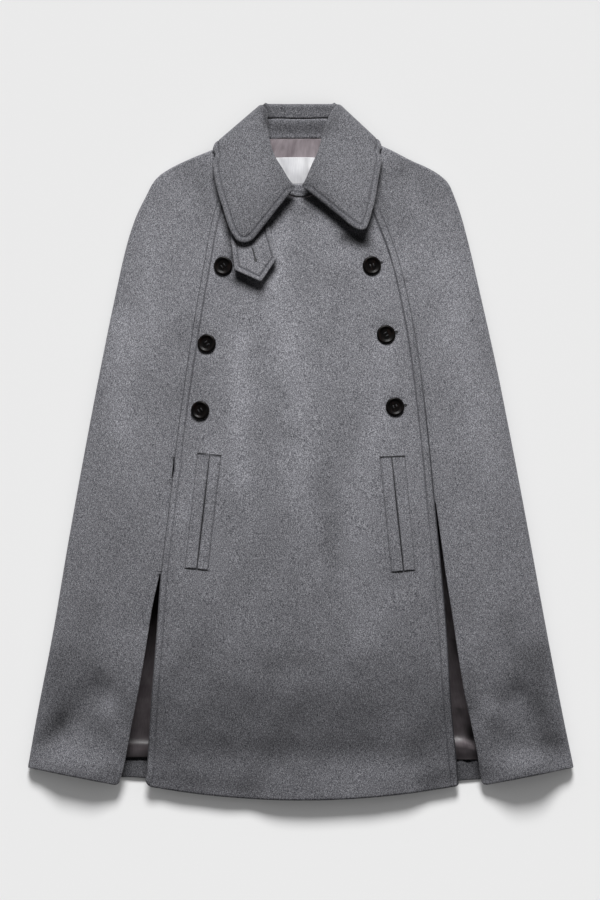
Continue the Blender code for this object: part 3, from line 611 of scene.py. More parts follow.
def add_node(tree: bpy.types.NodeTree, kind: str, settings: dict | None = None,
             links: dict | None = None) -> Node:
    """Add a node with its settings and links.

    Args:
        tree: the node tree.
        kind: the node's type, after "ShaderNode".
        settings: values by the name or number of an input, or by the name of a property.
        links: what feeds it, by the name or number of the input.

    Returns:
        The node.
    """
    node = tree.nodes.new(f"ShaderNode{kind}")
    for name, value in (settings or {}).items():
        if isinstance(name, int) or name in node.inputs:
            node.inputs[name].default_value = value
        else:
            setattr(node, name, value)
    feed(node, links or {})
    return node


class Shading:
    """A material and the nodes that colour its surface shader."""

    def __init__(self, name: str, **sockets) -> None:
        """Start a material whose surface shader has these constant values."""
        self.material = bpy.data.materials.new(name)
        self.material.use_nodes = True
        self.tree = self.material.node_tree
        self.shader = self.tree.nodes["Principled BSDF"]
        for socket, value in sockets.items():
            self.shader.inputs[socket.replace("_", " ")].default_value = value

    def place(self) -> Source:
        """Places on the object, in metres."""
        return add_node(self.tree, "TexCoord").outputs["Object"]

    def attribute(self, name: str) -> Source:
        """An attribute of the mesh."""
        return add_node(self.tree, "Attribute", {"attribute_name": name}).outputs["Fac"]

    def stretch(self, place: Source, scale: tuple, angle: float = 0.0) -> Source:
        """Scale places along their axes, and turn them about z."""
        settings = {"Rotation": (0.0, 0.0, angle), "Scale": scale}
        return add_node(self.tree, "Mapping", settings, {"Vector": place})

    def noise(self, place: Source, scale: float, detail: float = 2.0, rough: float = 0.5) -> Source:
        """A cloudy noise."""
        settings = {"Scale": scale, "Detail": detail, "Roughness": rough}
        return add_node(self.tree, "TexNoise", settings, {"Vector": place})

    def twill(self, place: Source, scale: float, distortion: float = 0.0) -> Source:
        """Slanting ribs."""
        return add_node(self.tree, "TexWave", {
            "wave_type": "BANDS", "bands_direction": "DIAGONAL", "Scale": scale,
            "Distortion": distortion}, {"Vector": place}).outputs["Fac"]

    def ramp(self, value: Source, low: float, high: float, start: float = 0.0,
             end: float = 1.0) -> Source:
        """Run from a start at low to an end at high."""
        return add_node(self.tree, "MapRange", {
            "From Min": low, "From Max": high, "To Min": start, "To Max": end}, {"Value": value})

    def add(self, first: Source, second: Source, share: float = 1.0) -> Source:
        """Add a value to a share of the first."""
        return add_node(self.tree, "Math", {"operation": "MULTIPLY_ADD", 1: share},
                        {0: first, 2: second})

    def lighten(self, colour: Source | str, factor: Source) -> Source:
        """Multiply a colour by a factor."""
        settings, links = {"operation": "SCALE"}, {"Scale": factor}
        if isinstance(colour, str):
            settings[0] = linear(colour)[:3]
        else:
            links[0] = colour
        return add_node(self.tree, "VectorMath", settings, links)

    def blend(self, share: Source, first: Source | str, second: Source | str) -> Source:
        """Go from a first colour to a second one by a share."""
        settings, links = {"data_type": "RGBA"}, {0: share}
        for number, colour in ((6, first), (7, second)):
            if isinstance(colour, str):
                settings[number] = linear(colour)
            else:
                links[number] = colour
        return add_node(self.tree, "Mix", settings, links).outputs[2]

    def finish(self, colour: Source, height: Source, strength: float, depth: float) -> Material:
        """Give the surface its colour and a relief of some millimetres, and return the material."""
        relief = add_node(self.tree, "Bump", {"Strength": strength, "Distance": depth * MM},
                          {"Height": height})
        feed(self.shader, {"Base Color": colour, "Normal": relief})
        return self.material


@dataclass(frozen=True)
class Melton:
    """Wool melton: a milled woollen cloth, dyed in the fibre, mixed, felted and closely shorn.

    Dark, middle and pale fibres lie in every direction, so the eye sees a fine mottle under a
    short soft nap that catches light at grazing angles.
    """
    name: str = "grey_melange_wool_melton"
    dark: str = "#37373c"
    middle: str = "#727277"
    pale: str = "#ababb0"
    # colour of the painted shade in grooves and along seams, partly pressed nap
    pressed_nap_and_shade: str = "#303034"
    fleck: float = 1.1  # millimetres; fibres are 0.02 thick, drawn coarse enough to show
    fibre: tuple = (0.6, 3.2)  # millimetres across and along a tuft of fibres
    fibre_turns: tuple = (0.5, -0.9)
    nap_patch: float = 85.0  # millimetres over which the lie of the nap changes
    nap_height: float = 0.45  # millimetres

    def make(self) -> Material:
        """Build the material."""
        shading = Shading(self.name, Roughness=0.92, Specular_IOR_Level=0.2, Sheen_Weight=0.12,
                          Sheen_Roughness=0.5, Sheen_Tint=linear("#d8d8de"))
        place = shading.place()
        tuft = (1.0 / (self.fibre[0] * MM), 1.0 / (self.fibre[1] * MM), 400.0)
        tufts = [shading.noise(shading.stretch(place, tuft, turn), 1.0) for turn in self.fibre_turns]
        fleck = shading.noise(place, 1.0 / (self.fleck * MM), 3.0, 0.62)
        mottle = shading.add(shading.add(*tufts), fleck, 0.28)
        shade = shading.ramp(mottle, 0.60, 0.96)
        lower = shading.blend(shading.ramp(shade, 0.0, 0.5), self.dark, self.middle)
        mixed = shading.blend(shading.ramp(shade, 0.5, 1.0), lower, self.pale)
        nap = shading.ramp(shading.noise(place, 1.0 / (self.nap_patch * MM)), 0.3, 0.7, 0.95, 1.05)
        # the painted light and shade from the mesh scales the random lie of the nap
        lie = add_node(shading.tree, "Math", {"operation": "MULTIPLY_ADD"},
                       {0: shading.attribute("painted_shading"), 1: nap, 2: nap})
        napped_and_painted = shading.lighten(mixed, lie)
        # blend towards the colour of the painted groove and seam shade
        colour = shading.blend(shading.attribute("pressed_nap_and_shade"), napped_and_painted, self.pressed_nap_and_shade)
        return shading.finish(colour, mottle, 0.4, self.nap_height)


@dataclass(frozen=True)
class Satin:
    """Woven satin, for linings and labels: long floats that gloss along the warp."""
    name: str
    dark: str
    pale: str
    roughness: float
    thread: float = 0.9  # millimetres; threads are 0.1 apart, drawn coarser so they show
    float_length: float = 14.0  # in threads
    sheen: float = 0.2

    def make(self) -> Material:
        """Build the material."""
        shading = Shading(self.name, Roughness=self.roughness, Specular_IOR_Level=0.5,
                          Sheen_Weight=self.sheen, Sheen_Roughness=0.35, Anisotropic=0.4)
        cloth, across = add_node(shading.tree, "UVMap"), 1.0 / (self.thread * MM)
        slub = shading.noise(shading.stretch(cloth, (across, across / self.float_length, 1.0)), 1.0, 3.0)
        share = shading.add(slub, shading.noise(cloth, 40.0), 0.6)
        mixed = shading.blend(shading.ramp(share, 0.55, 1.05), self.dark, self.pale)
        # painted light and shade from the mesh: shade inside the coat, in fold hollows and on the label,
        # highlights on some fold crests
        painted_shading = add_node(shading.tree, "Math", {"operation": "ADD", 1: 1.0},
                        {0: shading.attribute("painted_shading")})
        weave = shading.add(shading.twill(cloth, across / 4.0, 0.6), slub, 0.35)
        return shading.finish(shading.lighten(mixed, painted_shading), weave, 0.3, 0.12)


@dataclass(frozen=True)
class PolishedHorn:
    """Horn, turned and polished: nearly black, with brown streaks deep in the gloss."""
    name: str = "polished_dark_horn"
    dark: str = "#080707"
    streak: str = "#1c100c"

    def make(self) -> Material:
        """Build the material."""
        shading = Shading(self.name, IOR=1.24)
        lie = shading.stretch(shading.place(), (700.0, 110.0, 300.0), 0.7)
        grain = shading.noise(lie, 1.0, 4.0)
        colour = shading.blend(shading.ramp(grain, 0.52, 0.8), self.dark, self.streak)
        feed(shading.shader, {"Base Color": colour,
                              "Roughness": shading.ramp(grain, 0.3, 0.8, 0.3, 0.44)})
        return shading.material


@dataclass(frozen=True)
class Thread:
    """Spun polyester sewing thread: two plies twisted together, with a low gloss."""
    name: str
    colour: str
    twist: float = 0.8  # millimetres for one turn, drawn coarser than it is

    def make(self) -> Material:
        """Build the material."""
        shading = Shading(self.name, Roughness=0.62, Sheen_Weight=0.2, Sheen_Roughness=0.4)
        place = shading.place()
        fuzz = shading.ramp(shading.noise(place, 2500.0), 0.2, 0.8, 0.75, 1.2)
        plies = shading.twill(place, 1.0 / (self.twist * 6.0 * MM))
        return shading.finish(shading.lighten(self.colour, fuzz), plies, 0.6, 0.15)


@dataclass(frozen=True)
class Finishes:
    """Every finish of the coat, made once."""
    melton: Material = field(default_factory=Melton().make)
    lining: Material = field(default_factory=Satin("taupe_satin_lining", "#746b6f", "#9d9498", 0.4).make)
    label: Material = field(default_factory=Satin("white_satin_label", "#d2d2d6", "#f2f2f4", 0.36).make)
    horn: Material = field(default_factory=PolishedHorn().make)
    tonal_thread: Material = field(default_factory=Thread("grey_sewing_thread", "#64646a").make)
    # real dark thread, and the near-black sheets that paint the shadows in buttonhole slits and pocket
    # mouths
    dark_thread_and_shadow: Material = field(default_factory=Thread("dark_thread_and_painted_shadow", "#242427").make)


# ---- Stitching ----

def tube(rings: list) -> tuple[Array, list]:
    """Join rings of points, each in order round the tube, into a closed tube: points and faces."""
    sides, last = len(rings[0]), (len(rings) - 1) * len(rings[0])
    faces = []
    for start in range(0, last, sides):
        for k in range(sides):
            here, after = start + k, start + (k + 1) % sides
            faces.append((here, after, after + sides, here + sides))
    faces += [tuple(range(sides - 1, -1, -1)), tuple(range(last, last + sides))]
    return np.concatenate(rings), faces


def ring(place: float, sides: int, across: float, height: float) -> Array:
    """A ring of points round the x axis, at a place along it."""
    angles = 2.0 * math.pi * np.arange(sides) / sides
    return np.stack([np.full(sides, place), across * np.cos(angles), height * np.sin(angles)], axis=1)


@dataclass
class Stitching:
    """Rows of lockstitches that lie in the grooves they pull into the cloth."""
    finishes: Finishes
    pitch: float = 3.6
    length: float = 2.9
    radius: float = 0.32
    flatness: float = 0.8  # of a stitch's section
    tack_reach: float = 0.9  # half the length of a bar tack's stitches
    rings: tuple = ((-0.5, 0.25), (-0.36, 0.85), (0, 1), (0.36, 0.85), (0.5, 0.25))
    sides: int = 6

    def stitch(self) -> tuple[Array, list]:
        """Points and faces of one stitch along x, modelled once for all rows."""
        return tube([ring(along * self.length, self.sides, share * self.radius,
                          share * self.radius * self.flatness) for along, share in self.rings])

    def lay(self, name: str, starts: Array, ends: Array, finish: Material | None = None) -> Piece:
        """Lay one stitch between each pair of points.

        Args:
            name: of the piece.
            starts: (n, 3) points in millimetres.
            ends: (n, 3) points in millimetres.
            finish: the thread, or None for the coat's own grey thread.

        Returns:
            The stitches as one piece.
        """
        base, base_faces = self.stitch()
        points, faces = [], []
        for i, (start, end) in enumerate(zip(starts, ends)):
            reach = max(np.linalg.norm(end - start), 1e-6)
            along = (end - start) / reach
            side = np.cross(UP, along)
            side = side / max(np.linalg.norm(side), 1e-6)
            turn = np.stack([along * reach / self.pitch, side, np.cross(along, side)])
            points.append(base @ turn + (start + end) / 2.0)
            faces += [tuple(i * len(base) + k for k in face) for face in base_faces]
        piece = new_object(name, to_frame(np.concatenate(points)), faces, [])
        return hand_over(piece, finish or self.finishes.tonal_thread)

    def row(self, name: str, line: Array) -> Piece:
        """Lay a row of stitches along a line."""
        knots = resample(line, self.pitch)
        return self.lay(name, knots[:-1], knots[1:])

    def tack(self, name: str, start: Array, end: Array) -> Piece:
        """Lay short stitches side by side, across the line between two points."""
        knots = resample(np.array([start, end], float), 2.0 * self.radius)
        across = np.cross(UP, unit(end - start)) * self.tack_reach
        return self.lay(name, knots - across, knots + across, self.finishes.dark_thread_and_shadow)


@dataclass
class Buttonholes:
    """Keyhole buttonholes: a corded edge of close purl stitches round a slit with a round eye."""
    finishes: Finishes
    cord: float = 0.6
    slit: float = 0.4
    eye: float = 1.1
    eye_in: float = 1.8  # from the end of the slit to the eye's middle
    squareness: float = 3.0  # of the slit's ends
    raised: float = 0.12  # how far the dark sheet that paints the slit's shadow is drawn above the cloth
    steps: int = 96

    def outline(self, turn: Array, eye: Array, inner: Array) -> Array:
        """Plan points of the slit's edge, by the angle of a turn that starts at the eye."""
        length = np.hypot(*(eye - inner))
        along = (1.0 + np.cos(turn)) / 2.0
        half = self.slit + self.eye * bump((1.0 - along) * length - self.eye_in, self.eye_in)
        across = np.array([inner[1] - eye[1], eye[0] - inner[0]]) / length
        return (inner + (eye - inner) * along[:, None]
                + across * (half * np.tanh(self.squareness * np.sin(turn)))[:, None])

    def reshape(self, piece: Piece, eye: Array, inner: Array,
                surface: Callable, width: float, height: float) -> None:
        """Turn a ring about z, of radius 1, into a ring round the slit, on a surface."""
        points = np.empty(len(piece.data.vertices) * 3)
        piece.data.vertices.foreach_get("co", points)
        points = points.reshape(-1, 3)
        turn = np.arctan2(points[:, 1], points[:, 0])
        edge = self.outline(turn, eye, inner)
        ahead = self.outline(turn + 0.01, eye, inner) - self.outline(turn - 0.01, eye, inner)
        outward = unit(np.stack([ahead[:, 1], -ahead[:, 0]], axis=1))
        place = edge + outward * ((np.hypot(points[:, 0], points[:, 1]) - 1.0) * width)[:, None]
        z = surface(place[:, 0], place[:, 1]) + points[:, 2] * height
        piece.data.vertices.foreach_set("co", to_frame(plan(place[:, 0], place[:, 1], z)).ravel())
        piece.data.update()

    def work(self, name: str, eye: tuple, inner: tuple, surface: Callable) -> list[Piece]:
        """Work one buttonhole.

        Args:
            name: of the buttonhole.
            eye: plan point of the round end.
            inner: plan point of the other end.
            surface: function that gives the cloth's height over plan points.

        Returns:
            The corded edge and, inside it, a dark sheet drawn as the painted shadow of the slit.
        """
        eye, inner = np.array(eye), np.array(inner)
        cord = primitive(bpy.ops.mesh.primitive_torus_add, f"{name}_cord",
                         major_segments=self.steps, minor_segments=8, minor_radius=0.25)
        self.reshape(cord, eye, inner, surface, 4.0 * self.cord, 4.0 * self.cord)
        # a near-black sheet over the slit: painted shadow of the opening
        slit_shadow = primitive(bpy.ops.mesh.primitive_circle_add, f"{name}_opening",
                            vertices=self.steps, fill_type="NGON")
        self.reshape(slit_shadow, eye, inner, lambda x, up: surface(x, up) + self.raised, 1.0, 1.0)
        for piece in (cord, slit_shadow):
            piece.data.shade_smooth()
            hand_over(piece, self.finishes.dark_thread_and_shadow)
        return [cord, slit_shadow]


# ---- Fronts ----

@dataclass
class ClothWork:
    """A sub-assembly of the coat, shaped by its form and made in its finishes."""
    form: CoatForm
    finishes: Finishes

    def sew(self, node: str, shell: Shell, cut: Cut, pressed_nap_and_shade: Array | float = 0.0,
            painted_shading: Array | float = 0.0) -> Piece:
        """Make a shell of melton, with nothing on it, that stands for a solid."""
        piece = shell.make(f"{node}_melton", pressed_nap_and_shade, painted_shading)
        return hand_over(piece, self.finishes.melton, (node,))


# Distances from an edge at which a panel has points, close where it is rolled and stitched
EDGE_STEPS = (
    0, 0.25, 0.6, 1.1, 1.8, 2.8, 4, 5.3, 6.3, 7, 7.6, 8.2, 8.8, 9.4, 10, 10.6, 11.3, 12.4, 14, 17)
RIM_STEPS = (0, 0.25, 0.6, 1.1, 1.8, 2.8)


def corner_lift(inset: Array, radius: float) -> Array:
    """How far a hem turns up at a distance from its end, on a round corner."""
    return radius - np.sqrt(radius ** 2 - np.clip(radius - inset, 0.0, radius) ** 2)


def hem_fade(levels: Array, radius: float) -> Array:
    """Share of a corner's lift that the rows above the hem still have."""
    return fall(levels, levels.min(), levels.min() + 1.8 * radius)


def spaced(low: float, high: float, step: float, near_low: tuple = RIM_STEPS,
           near_high: tuple | None = None) -> Array:
    """Positions from low to high: close at both ends, alike unless told, and a step apart between."""
    near_high = near_low if near_high is None else near_high
    start, end = low + near_low[-1], high - near_high[-1]
    count = max(int(round((end - start) / step)), 1)
    middle = np.linspace(start, end, count + 1)[1:-1]
    return np.concatenate([low + np.array(near_low), middle, high - np.array(near_high)[::-1]])


@dataclass(frozen=True)
class StitchedEdge:
    """One long edge of the front: its stitches, how it laps the wing, and the painted shade line along
    it.
    """
    stitch_in: float  # from the edge to the stitches
    strength: tuple  # of the stitches' groove and of its painted shade: a start, then steps up the front
    lap: tuple  # how deep the edge sinks, from how far in, between which levels
    puff: tuple  # height, place and width of the swell beside the stitches
    seam: tuple  # place and width of the edge's painted shade line
    edge_shade_strength: tuple  # of the painted shade line: a start, then steps up the front


@dataclass
class FrontPanels(ClothWork):
    """The overlapping front with its stitched edges, and the plain front hidden under it."""
    levels: tuple = (18.5, 832)
    steps: tuple = (4.2, 12)  # of the grids of the front and of the hidden one
    even_width: float = 340.0  # over which a grid's columns are a step apart
    hem_dip: tuple = (18.5, 200)  # depth in the middle and fade
    neck_dip: tuple = (62, 240, 2.2)  # depth, fade and power of the curve
    corners: tuple = (9, 3.5)  # radii of the hem's corners, minus and plus
    rims: tuple = (1.3, 2.6)  # radii of the rolled edges and of the hem
    hem_turn: tuple = (46, 2, 2)  # depth of the turned-up hem, fade, added wall
    arm_slit: tuple = (424.5, 10, 1.2, 22)  # level, half length, bow of its edge, how far in
    edges: tuple = (
        StitchedEdge(8.4, (0.45, (0.45, 430, 520)), (0.9, 11, 280, 300), (0.35, 4.2, 2.6),
                     (0.6, 0.9), (0.6,)),
        StitchedEdge(10, (0.45, (0.4, 345, 400), (0.15, 520, 640), (0.7, 680, 700)),
                     (1.2, 9, 540, 620), (0.35, 5, 3.2), (0.5, 1.1), (1, (-0.8, 480, 560))))
    # least strength of the painted shade line along the edges
    edge_shade_least: float = 0.6
    groove: tuple = (0.9, 0.9)  # depth and width
    stitched: tuple = (14, 800)  # levels between which the edges are stitched
    tacks: tuple = (
        ("bar_tack_slit_minus_x", ((-183, 293.7), (-176.8, 293.2))),
        ("bar_tack_arm_slit_upper", ((-164.6, 439), (-161.4, 439.2))),
        ("bar_tack_arm_slit_lower", ((-168.6, 409.6), (-165.2, 409.8))))
    tack_depth: float = 0.4
    under_share: float = 0.6  # of the way to the minus edge that is hidden cloth
    under_gaps: tuple = (0.3, 0.5)  # to the wing's edge, and below the front

    def plan_grid(self, step: float, edges: tuple, left_share: float = 1.0,
                  right: Array | None = None) -> tuple[Array, Array]:
        """Plan grid of a front, rows from the hem to the neckline."""
        low, high = self.levels
        levels = spaced(low, high, step)[:, None]
        left, right_edge = (self.form.front_edge(side, levels) for side in Side)
        start = left * left_share
        end = right_edge if right is None else right(levels)
        inset = np.array(edges)[None, :]
        share = np.linspace(0.0, 1.0, int(round(self.even_width / step)))[None, 1:-1]
        inner_start, inner_end = start + edges[-1], end - edges[-1]
        x = np.concatenate([start + inset, inner_start + (inner_end - inner_start) * share,
                            end - inset[:, ::-1]], axis=1)
        across = np.clip(x / np.where(x < 0.0, left, right_edge), -1.0, 1.0)
        depth, fade = self.hem_dip
        dip = depth * fall(levels, low, low + fade) * (1.0 - np.abs(across) ** 2)
        depth, fade, power = self.neck_dip
        near_neck = smooth_step(levels, high - fade, high)
        dip = dip + depth * near_neck * (1.0 - np.abs(across) ** power)
        return x, levels - dip

    def build_over(self, stitching: Stitching) -> Piece:
        """Build the overlapping front and its two rows of topstitching."""
        form = self.form
        x, up = self.plan_grid(self.steps[0], EDGE_STEPS)
        for end, corner in zip((x[:, :1], x[:, -1:]), self.corners):
            up = up + corner_lift(np.abs(x - end), corner) * hem_fade(up[:, :1], corner)
        level, reach, bow, bow_in = self.arm_slit
        x = x + bow * bump(up - level, reach) * fall(x - x[:, :1], 0.0, bow_in)
        shell = Shell.laid(x, up, form.height(x, up) + form.lay_gap, form.wool)
        lines = [shell.border(Border.FIRST_COLUMN), shell.border(Border.LAST_COLUMN)]
        gaps = [shell.distance_to(line) for line in lines]
        hem = shell.distance_from(Border.FIRST_ROW)
        grooves = edge_shade = sink = np.zeros(up.shape)
        for edge, gap in zip(self.edges, gaps):
            deep, reach, low, high = edge.lap
            height, puff_in, width = edge.puff
            sink = sink + deep * fall(gap, 0.0, reach) * smooth_step(up, low, high)
            sink = sink - height * bump(gap - puff_in, width)
            groove = climb(up, *edge.strength) * bump(gap - edge.stitch_in, self.groove[1])
            grooves = np.maximum(grooves, groove)
            dark = np.maximum(climb(up, *edge.edge_shade_strength), self.edge_shade_least)
            edge_shade = np.maximum(edge_shade, dark * bump(gap - edge.seam[0], edge.seam[1]))
        shell.press(self.groove[0] * grooves + sink)
        depth, fade, wall = self.hem_turn
        shell.under[..., 2] -= wall * fall(hem, depth - fade, depth + fade)
        shell.round_rim(np.minimum(*gaps), self.rims[0])
        shell.round_rim(hem, self.rims[1])
        # the painted shade of the grooves and edge lines, and the painted light and shade strokes
        piece = shell.make("front_over_melton", np.maximum(grooves, edge_shade),
                           band_sum(form.painted_shading_strokes, x, up))
        low, high = self.stitched
        for side, edge, gap, guide in zip(Side, self.edges, gaps, lines):
            line = shell.line_at(gap, edge.stitch_in, guide)
            line = line[(line[:, 1] > low) & (line[:, 1] < high)]
            stitching.row(f"topstitch_front_{side.label}", line)
        for name, ends in self.tacks:
            line = [(*end, float(form.front_top(*end)) - self.tack_depth) for end in ends]
            stitching.tack(name, *np.array(line))
        return hand_over(piece, self.finishes.melton, ("front_over",))

    def build_under(self) -> Piece:
        """Build the plain front hidden under the other one."""
        form = self.form
        aside, below = self.under_gaps

        def hidden_edge(levels: Array) -> Array:
            return form.front_edge(Side.PLUS, levels) - table(PLUS_WING_LAPS, levels) - aside

        x, up = self.plan_grid(self.steps[1], RIM_STEPS, self.under_share, hidden_edge)
        shell = Shell.laid(x, up, form.height(x, up) - below - form.wool, form.wool)
        return self.sew("front_under", shell, Cut(0.33, 0.83, 0.20, ("back_lining",)))


# ---- Cape wings ----

# level on the front edge, level on the side fold
WING_LEVELS = (
    (18.5, 42), (40, 61), (60, 81), (100, 120), (140, 157), (190, 204), (240, 252), (286.5, 297.5),
    (330, 341), (380, 392), (403, 417), (438, 455), (470, 492), (510, 545), (560, 610), (610, 680),
    (660, 735), (681, 753), (700, 768), (716, 779), (736, 789), (768, 806), (793, 824), (803, 831),
    (813, 838), (832, 853.9))
# level, how far the wing reaches under the overlapping front
MINUS_WING_LAPS = ((293.5, 8), (404, 8), (409.5, -0.7), (438.5, -0.7), (444, 8), (736, 8), (832, 3))
PLUS_WING_LAPS = ((403, 12), (736, 12), (832, 3))
# level, x of the free front edge along the slit
MINUS_SLIT = (
    (21, -231.3), (54.4, -223.7), (92.2, -216.7), (130.6, -208.9), (170.2, -201.7), (209.3, -195.4),
    (248.3, -189.1), (289, -180))
PLUS_SLIT = (
    (20.5, 230.8), (52.5, 226.8), (101.1, 217), (140.8, 208.4), (189.4, 200.5), (238.1, 193.3),
    (293.1, 184.5), (330.2, 179.4), (380, 172.4))


@dataclass
class CapeWing(ClothWork):
    """A cape wing: from its front edge over the side fold to the back seam underneath."""
    side: Side
    under_return: float = 55.0  # from the fold back to the seam underneath
    return_share: float = 0.75  # of the wing's width, where it is narrow
    corner: float = 8.0
    step: float = 4.4
    near_edge: tuple = RIM_STEPS + (4.2, 6, 8.5, 12)
    near_share: float = 0.3  # of the wing's width, at most
    columns: tuple = (38, 13, 9)  # on the front side, round the fold, underneath
    rims: tuple = (1.5, 2.4)  # radii of the front edge and of the hem

    def front_edge(self, up: Array) -> Array:
        """X of the wing's front edge: lapped under the front above, free along the slit."""
        laps, slit = ((MINUS_WING_LAPS, MINUS_SLIT) if self.side is Side.MINUS
                      else (PLUS_WING_LAPS, PLUS_SLIT))
        low, high = slit[-1][0], laps[0][0]
        lapped = self.form.front_edge(self.side, up) - self.side.value * table(laps, up)
        share = np.clip((up - low) / (high - low), 0.0, 1.0)
        return table(slit, up) * (1.0 - share) + lapped * share

    def rows(self, step: float) -> tuple[Array, ...]:
        """Plan points of the rows from neck to hem: front edge, side fold, seam, direction in."""
        low, high = WING_LEVELS[0][0], WING_LEVELS[-1][0]
        levels = spaced(low, high, step)[::-1]
        fold_levels = table(WING_LEVELS, levels)
        front = np.stack([self.front_edge(levels), levels], axis=1)
        fold = np.stack([self.form.side_fold(self.side, fold_levels), fold_levels], axis=1)
        width = np.linalg.norm(front - fold, axis=1, keepdims=True)
        inward = (front - fold) / width
        seam = fold + inward * np.minimum(self.under_return, self.return_share * width)
        return front, fold, seam, inward

    def build(self) -> Piece:
        """Build the wing as one closed shell."""
        form, wool = self.form, self.form.wool
        across, around, behind = self.columns
        front, fold, seam, inward = self.rows(self.step)
        radius = form.fold_radius(fold[:, 1])[:, None]
        crest = fold + inward * radius
        width = np.linalg.norm(crest - front, axis=1, keepdims=True)
        near = np.minimum(np.array(self.near_edge)[None, :] / width, self.near_share)
        share = np.concatenate([near, near[:, -1:] + (1.0 - near[:, -1:])
                                * np.linspace(0.0, 1.0, across)[None, 1:]], axis=1)
        at = front[:, None] + (crest - front)[:, None] * share[..., None]
        at[..., 1] += corner_lift(share * width, self.corner) * hem_fade(front[:, 1:], self.corner)
        top = form.height(at[..., 0], at[..., 1])
        outer, inner = [plan(at[..., 0], at[..., 1], top)], [plan(at[..., 0], at[..., 1], top - wool)]
        floor = form.ground(crest[:, 0], crest[:, 1])[:, None]
        angles = np.radians(np.linspace(90.0, -90.0, around))[None, 1:]
        for grid, reach in ((outer, radius), (inner, radius - wool)):
            turn = crest[:, None] - inward[:, None] * (reach * np.cos(angles))[..., None]
            grid.append(plan(turn[..., 0], turn[..., 1], floor + radius + reach * np.sin(angles)))
        share = np.linspace(0.0, 1.0, behind)[None, 1:, None]
        back = crest[:, None] + (seam - crest)[:, None] * share
        low = form.ground(back[..., 0], back[..., 1])
        outer.append(plan(back[..., 0], back[..., 1], low))
        inner.append(plan(back[..., 0], back[..., 1], low + wool))
        shell = Shell(np.concatenate(outer, axis=1), np.concatenate(inner, axis=1))
        rims = [shell.distance_from(border) for border in (Border.FIRST_COLUMN, Border.LAST_ROW)]
        for rim, rim_radius in zip(rims, self.rims):
            shell.round_rim(rim, rim_radius)
        # painted light and shade strokes, on the wing's top layer only
        painted_shading = band_sum(form.painted_shading_strokes, shell.top[..., 0], shell.top[..., 1])
        return self.sew(f"wing_{self.side.label}", shell,
                        Cut(0.22, 0.87, 0.15, ("back_lining",), Hold.FOLDED),
                        painted_shading=painted_shading * (shell.top[..., 2] > 2.0 * form.wool))


# ---- Back, lining and label ----

